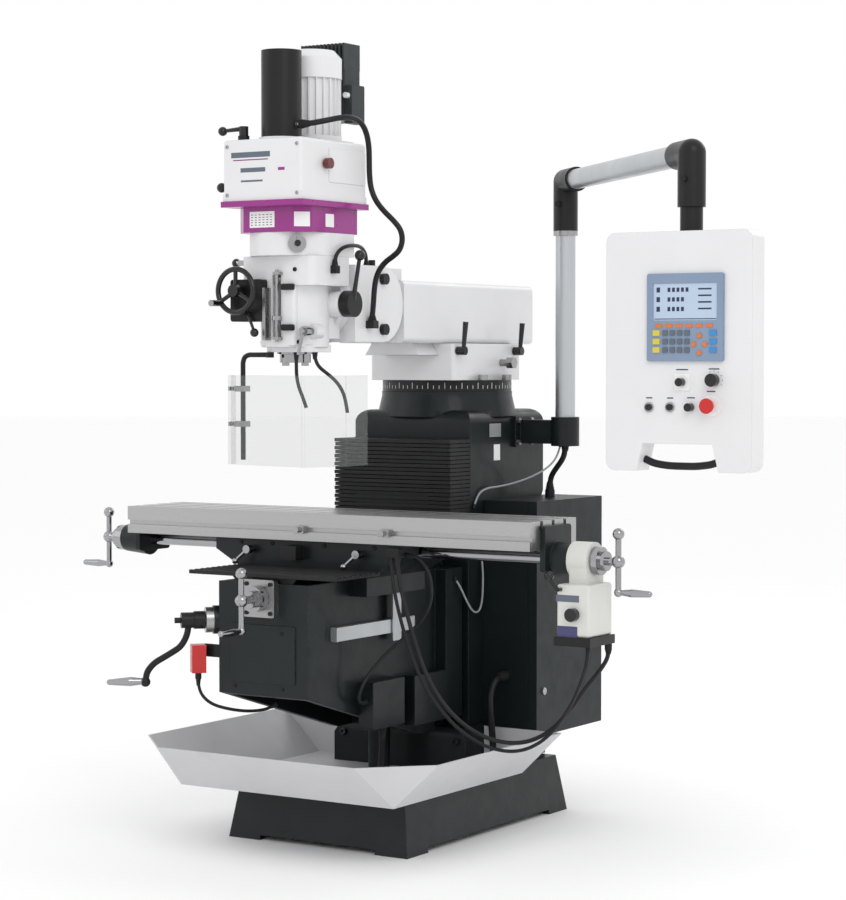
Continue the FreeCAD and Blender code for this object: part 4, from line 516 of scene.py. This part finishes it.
# diameter and route points in millimetres, as the machine's cables run
ROUTES = {
    "drawbar_switch_conduit": (16, [
        (66, -617, 2040), (94, -617, 2040), (121, -608, 2044), (142, -589, 2050),
        (156, -562, 2057), (165, -530, 2061), (168, -496, 2059), (169, -466, 2046),
        (169, -445, 2021), (168, -433, 1988), (165, -427, 1950), (164, -425, 1910),
        (168, -424, 1872), (182, -422, 1838), (207, -420, 1808), (240, -417, 1779),
        (260, -411, 1754), (263, -406, 1724), (250, -401, 1697), (226, -397, 1681),
        (198, -393, 1667), (174, -389, 1646), (158, -385, 1618), (150, -380, 1586),
        (142, -371, 1558), (133, -361, 1533), (129, -358, 1517),
        (129, -358, 1502)]),
    "swivel_cable": (11, [
        (131, -547, 1652), (131, -547, 1670), (133, -538, 1688), (136, -520, 1701),
        (138, -494, 1708), (136, -460, 1711), (130, -426, 1710), (121, -394, 1704),
        (113, -370, 1692), (109, -361, 1684), (105, -353, 1672),
        (105, -353, 1659)]),
    "coolant_hose": (10, [
        (38, -602, 1412), (38, -602, 1376), (39, -602, 1344), (45, -600, 1314),
        (56, -597, 1288), (66, -594, 1258)]),
    "air_line": (10, [
        (76, -566, 1412), (76, -566, 1392), (88, -563, 1370), (112, -556, 1352),
        (136, -550, 1332), (154, -545, 1306), (162, -540, 1276), (165, -537, 1244)]),
    "table_feed_cable": (12, [
        (312, -509, 846), (312, -509, 808), (328, -500, 722), (340, -468, 616),
        (356, -436, 520), (392, -402, 434), (448, -368, 368), (524, -340, 332),
        (606, -320, 330), (684, -310, 368), (748, -312, 434), (802, -322, 502),
        (846, -335, 545), (876, -346, 580), (885, -350, 600),
        (885, -350, 614)]),
    "table_limit_cable": (10, [
        (292, -509, 846), (292, -509, 804), (308, -504, 710), (320, -472, 606),
        (338, -436, 508), (378, -400, 420), (438, -368, 350), (512, -342, 310),
        (596, -326, 306), (676, -328, 346), (740, -344, 410), (790, -366, 474),
        (826, -386, 534), (850, -400, 590), (850, -400, 630)]),
    "saddle_cable": (10, [
        (320, -470, 850), (338, -470, 850), (356, -467, 843), (369, -459, 827),
        (376, -447, 801), (374, -431, 764), (362, -413, 722), (334, -398, 680),
        (298, -394, 642), (260, -406, 606), (230, -432, 572), (212, -468, 536),
        (197, -499, 499), (186, -512, 460), (180, -504, 440), (176, -486, 430),
        (176, -461, 430)]),
    "knee_conduit": (16, [
        (176, -380, 352), (176, -380, 312), (172, -377, 268), (164, -373, 222),
        (160, -372, 174)]),
    "lift_switch_cable": (9, [
        (-216, -721, 498), (-216, -721, 476), (-208, -713, 448), (-188, -696, 425),
        (-156, -670, 412), (-118, -640, 404),
        (-82, -613, 405), (-58, -595, 413), (-44, -584, 424)]),
    "cabinet_conduit": (20, [
        (285, 116, 450), (285, 82, 450), (285, 50, 432), (285, 32, 400),
        (286, 33, 360), (287, 38, 316), (288, 44, 268), (288, 48, 220),
        (288, 50, 174)]),
    "mast_cable": (17, [
        (360, 350, 1139), (360, 350, 1114), (350, 354, 1090), (327, 363, 1067),
        (302, 373, 1042), (292, 377, 1018), (292, 377, 993)]),
    "lamp_wire": (6, [
        (350, 340, 1139), (346, 334, 1104), (326, 316, 1068), (292, 280, 1040),
        (256, 230, 1020), (230, 176, 1010), (218, 122, 1008), (209, 84, 990),
        (208, 66, 950)]),
    "way_sensor_wires": (6, [
        (193, -20, 750), (203, -4, 724), (210, 18, 682), (213, 44, 650), (215, 66, 638),
        (217, 86, 644), (217, 99, 668), (216, 107, 716), (212, 112, 772),
        (206, 110, 826)]),
}

# length in metres, body, replaced node, finish and far end of each cable
CORDS = {
    "coolant_hose": (0.159, "head", "head_hoses", "rubber", "bare"),
    "air_line": (0.202, "head", "head_hoses", "rubber", "bare"),
    "drawbar_switch_conduit": (0.859, "head", "head_hoses", "black", "object"),
    "swivel_cable": (0.257, "head", "head_hoses", "black", "object"),
    "table_feed_cable": (1.112, "knee", "trailing_cables", "rubber", "object"),
    "table_limit_cable": (1.161, "knee", "trailing_cables", "rubber", "object"),
    "saddle_cable": (0.598, "knee", "trailing_cables", "rubber", "object"),
    "knee_conduit": (0.179, "knee", "trailing_cables", "black", "object"),
    "way_sensor_wires": (0.351, "knee", "trailing_cables", "grey_cable", "object"),
    "lift_switch_cable": (0.275, "knee", "trailing_cables", "rubber", "object"),
    "cabinet_conduit": (0.332, "column", "column_cables", "black", "object"),
    "mast_cable": (0.172, "column", "column_cables", "rubber", "object"),
    "lamp_wire": (0.401, "column", "column_cables", "grey_cable", "object"),
}


def add_cords():
    for name, (length, body, node, key, far_end) in CORDS.items():
        diameter, points = ROUTES[name]
        data = bpy.data.curves.new(name, "CURVE")
        data.dimensions = "3D"
        data.bevel_depth = diameter / 2000
        data.bevel_resolution = 5
        data.resolution_u = 10
        data.use_fill_caps = True
        line = data.splines.new("NURBS")
        line.points.add(len(points) - 1)
        for place, point in zip(line.points, points):
            place.co = (*mm(*point), 1)
        line.order_u = 3
        line.use_endpoint_u = True
        data.materials.append(finish[key])
        cable = bpy.data.objects.new(name, data)
        scene.collection.objects.link(cable)
        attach(cable, body)
        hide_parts(node)
        add_strain_relief(name, points, diameter, body, far_end)


def add_strain_relief(name, points, diameter, body, far_end):
    """A tapered, ribbed boot round the cable where it enters a gland."""
    bm = bmesh.new()
    ends = [(points[0], points[1])]
    if far_end == "object":
        ends.append((points[-1], points[-2]))
    for foot, toward in ends:
        axis = Vector(toward) - Vector(foot)
        reach = min(axis.length, 2.2 * diameter)
        outline = [(diameter * 0.5, -0.5), (diameter * 0.85, -0.5)]
        for rib in range(5):
            radius = diameter * (0.82 - 0.055 * rib)
            low = reach * rib / 5
            outline += [(radius, low + 0.1), (radius, low + reach * 0.13),
                        (radius * 0.86, low + reach * 0.15),
                        (radius * 0.86, low + reach * 0.19)]
        outline.append((diameter * 0.505, reach))
        lathe(bm, outline, foot, axis, 20)
    dress(name + "_boots", bm, body, ["rubber"])


# ---------------------------------------------------------------- details

def add_way_covers():
    """The pleated covers over the knee's front and the column's ways."""
    bm = bmesh.new()
    gap = 1.5
    pleats, back_edge, depth = 17, -502, 218
    for pleat in range(pleats):
        near = back_edge - depth * (pleat + 1) / pleats + gap
        far = back_edge - depth * pleat / pleats
        slab(bm, (-250, near, 792), (250, far, 803 - (pleat % 2) * 3), soften=1.2)
    dress("front_pleats", bm, "knee", ["rubber"],
          replaced=("front_way_cover",))
    bm = bmesh.new()
    pleats, foot, height = 21, 905, 252
    for pleat in range(pleats):
        low = foot + height * pleat / pleats
        high = foot + height * (pleat + 1) / pleats - gap
        for step, (near, far) in enumerate(((-64, 0), (0, 49))):
            slab(bm, (-205, near + (pleat % 2) * 4 * (step == 0), low), (205, far, high),
                 soften=1.0)
    dress("rear_pleats", bm, "column", ["rubber"],
          replaced=("rear_way_cover",))


trees = {}


def find_surface(node, start, direction):
    """Where a line meets a CAD node, in millimetres, and the surface's normal there."""
    if node not in trees:
        mesh = frame["nodes"][node].data
        trees[node] = BVHTree.FromPolygons([vertex.co for vertex in mesh.vertices],
                                           [polygon.vertices[:] for polygon in mesh.polygons])
    point, normal, _, _ = trees[node].ray_cast(mm(*start), Vector(direction))
    if point is None:
        raise ValueError(f"no surface of {node} along {start} {direction}")
    return point * 1000, normal


def lay_plate(bm, node, start, direction, width, height, index=0, thick=0.8):
    """A thin upright plate on a node's surface, met along a line."""
    point, normal = find_surface(node, start, direction)
    up = Vector((0, 0, 1))
    upward = (up - normal * normal.dot(up)).normalized()
    across = upward.cross(normal)
    turn = Matrix((across, upward, normal)).transposed().to_4x4()
    turn.translation = point / 1000
    slab(bm, (-width / 2, -height / 2, -0.3), (width / 2, height / 2, thick), index, turn,
         soften=min(0.25, thick / 3))


def seat_bolts(name, node, starts, direction, radius, height, key="black"):
    """Socket-head screws seated on a node's surface."""
    bm = bmesh.new()
    for start in starts:
        point, normal = find_surface(node, start, direction)
        lathe(bm, bolt_outline(radius, height), point - normal * 0.2, normal, 24)
    return dress(name, bm, body_of_node[node], [key])


def add_head_details():
    """Blank plates where the machine carries its lettering and data plates, and screws."""
    bm = bmesh.new()
    front = (0, 1, 0)
    for x, z, width, height, index in ((-38, 1954, 132, 15, 0), (-38, 1940, 118, 3, 1),
                                       (-30, 1912, 84, 12, 0), (66, 1912, 22, 8, 1),
                                       (-34, 1882, 74, 5, 0)):
        lay_plate(bm, "belt_cover", (x, -760, z), front, width, height, index, 0.4)
    dress("belt_cover_marks", bm, "head", ["key", "magenta"])
    bm = bmesh.new()
    lay_plate(bm, "spindle_gear_housing", (-18, -760, 1777), front, 84, 44)
    lay_plate(bm, "spindle_gear_housing", (160, -722, 1776), (-0.7071, 0.7071, 0), 44, 40)
    lay_plate(bm, "spindle_gear_housing", (260, -560, 1776), (-1, 0, 0), 40, 36)
    dress("housing_labels", bm, "head", ["label"])
    bm = bmesh.new()
    for row in range(5):
        for column in range(6):
            lay_plate(bm, "spindle_gear_housing",
                      (-52 + column * 13, -760, 1790 - row * 7), front, 7, 2, 0, 1.1)
    dress("housing_label_rows", bm, "head", ["ink"])
    bm = bmesh.new()
    # painted shade: a black plate laid proud of the white head casting stands in for the shade
    # inside its depth recess
    lay_plate(bm, "head_casting", (8, -760, 1536), front, 34, 176, 0, 1.6)
    dress("depth_recess_painted_shade", bm, "head", ["black"])
    bm = bmesh.new()
    for z in (1480, 1592):
        point, normal = find_surface("head_casting", (42, -760, z), front)
        turn = Matrix.Translation(point / 1000) @ basis(normal)
        slab(bm, (-20, -9, -1), (20, 9, 15), 0, turn, soften=5)
    dress("head_plugs", bm, "head", ["black"])
    bm = bmesh.new()
    axis = Vector((0.64278761, -0.766044443, 0))    # the dial looks 40 degrees to the right
    start = Vector((0, -561, 1710)) + axis * 200
    point, normal = find_surface("speed_range_dial", start, -axis)
    lathe(bm, [(9, -0.4), (9, 5), (7.5, 7), (0, 7.5)], point, axis, 28)
    dress("dial_centre", bm, "speed_dial", ["knob"])
    bm = bmesh.new()
    for step in range(21):
        lay_plate(bm, "quill_feed_box", (-25, -720, 1452 + step * 6.5), front,
                  8 if step % 5 == 0 else 5, 0.9, 0, 0.3)
    dress("depth_scale_marks", bm, "head", ["ink"])
    seat_bolts("belt_cover_screws", "belt_cover",
               [(x, -760, z) for x in (-118, 118) for z in (1845, 1978)], front, 5, 3,
               "chrome")
    seat_bolts("head_screws", "head_casting",
               [(62, -760, 1440), (-62, -760, 1440), (62, -760, 1640)], front, 6, 4)


def add_panel_details():
    """The display's rows, and plain marks beside the panel's controls."""
    bm = bmesh.new()
    face = -431.8
    for row in range(3):
        z = 1566 - row * 25
        slab(bm, (1068, face - 0.5, z), (1078, face + 0.1, z + 13), 0, soften=0.15)
        for figure in range(5 - (row > 0)):
            x = 1100 + figure * 13
            slab(bm, (x, face - 0.5, z + 1), (x + 8, face + 0.1, z + 12), 0, soften=0.15)
    for step in range(4):
        z = 1572 - step * 17
        slab(bm, (1188, face - 0.5, z), (1226, face + 0.1, z + 4), 0, soften=0.1)
    slab(bm, (1062, face - 0.4, 1496), (1240, face + 0.1, 1498), 0, soften=0.1)
    dress("display_rows", bm, "control_panel", ["ink"])
    bm = bmesh.new()
    for key in range(6):
        x = 1066 + key * 29
        slab(bm, (x, -435.4, 1474), (x + 20, -433.9, 1484), 0, soften=0.4)
    dress("soft_keys", bm, "control_panel", ["orange"])
    bm = bmesh.new()
    for x, z, width in ((1139.5, 1364, 34), (1231, 1366, 30), (1044, 1290, 18),
                        (1105, 1290, 18), (1165.5, 1291, 22), (1222.6, 1308, 24)):
        slab(bm, (x - width / 2, -425.5, z), (x + width / 2, -424.8, z + 3), 0, soften=0.1)
    for turn in range(-120, 121, 30):
        angle = math.radians(turn)
        x, z = 1231 + 24 * math.sin(angle), 1338.5 + 24 * math.cos(angle)
        slab(bm, (x - 1, -425.5, z - 1), (x + 1, -424.8, z + 1), 0, soften=0.1)
    dress("panel_marks", bm, "control_panel", ["ink"])


def add_turret_marks():
    """The degree marks round the turret's base ring."""
    bm = bmesh.new()
    for degree in range(0, 360, 5):
        angle = math.radians(degree)
        x, y = 198 * math.cos(angle), 250 + 198 * math.sin(angle)
        tall = 18 if degree % 15 == 0 else 10
        turn = (Matrix.Translation(mm(x, y, 1304))
                @ Matrix.Rotation(angle, 4, "Z"))
        slab(bm, (-0.4, -0.7, 0), (0.3, 0.7, tall), 0, turn, soften=0.1)
    dress("turret_degree_marks", bm, "turret", ["label"])


def add_column_details():
    bm = bmesh.new()
    lay_plate(bm, "column_casting", (400, 195, 1179), (-1, 0, 0), 66, 40, 0)
    lay_plate(bm, "column_casting", (400, 205, 1112), (-1, 0, 0), 36, 48, 1)
    dress("column_plates", bm, "column", ["plate", "label"])
    seat_bolts("column_screws", "column_casting",
               [(400, y, z) for y in (175, 215) for z in (1166, 1192)], (-1, 0, 0), 2.4, 1.4,
               "steel")
    seat_bolts("base_screws", "column_casting",
               [(x, -90, 260) for x in (-200, 200)], (0, 1, 0), 11, 9)


def add_knee_details():
    seat_bolts("knee_cover_screws", "knee_casting",
               [(x, -800, z) for x in (-96, 66) for z in (486, 640)], (0, 1, 0), 5, 3)
    seat_bolts("saddle_screws", "saddle_casting",
               [(x, -640, 868) for x in (-230, -120, 60, 230)], (0, 1, 0), 6, 4)


def add_feed_details():
    """The power feed's face panel."""
    bm = bmesh.new()
    lay_plate(bm, "power_feed_unit", (826, -620, 668), (0, 1, 0), 60, 30, 0, 1.0)
    lay_plate(bm, "power_feed_unit", (826, -620, 757), (0, 1, 0), 70, 18, 1, 0.8)
    dress("feed_face", bm, "table", ["feed_panel", "key"])


# ---------------------------------------------------------------- make everything

add_camera()
add_cords()
add_stage()
dress_castings()
dress_controls()
dress_head()
dress_knee()
add_way_covers()
add_head_details()
add_panel_details()
add_turret_marks()
add_column_details()
add_feed_details()
add_knee_details()
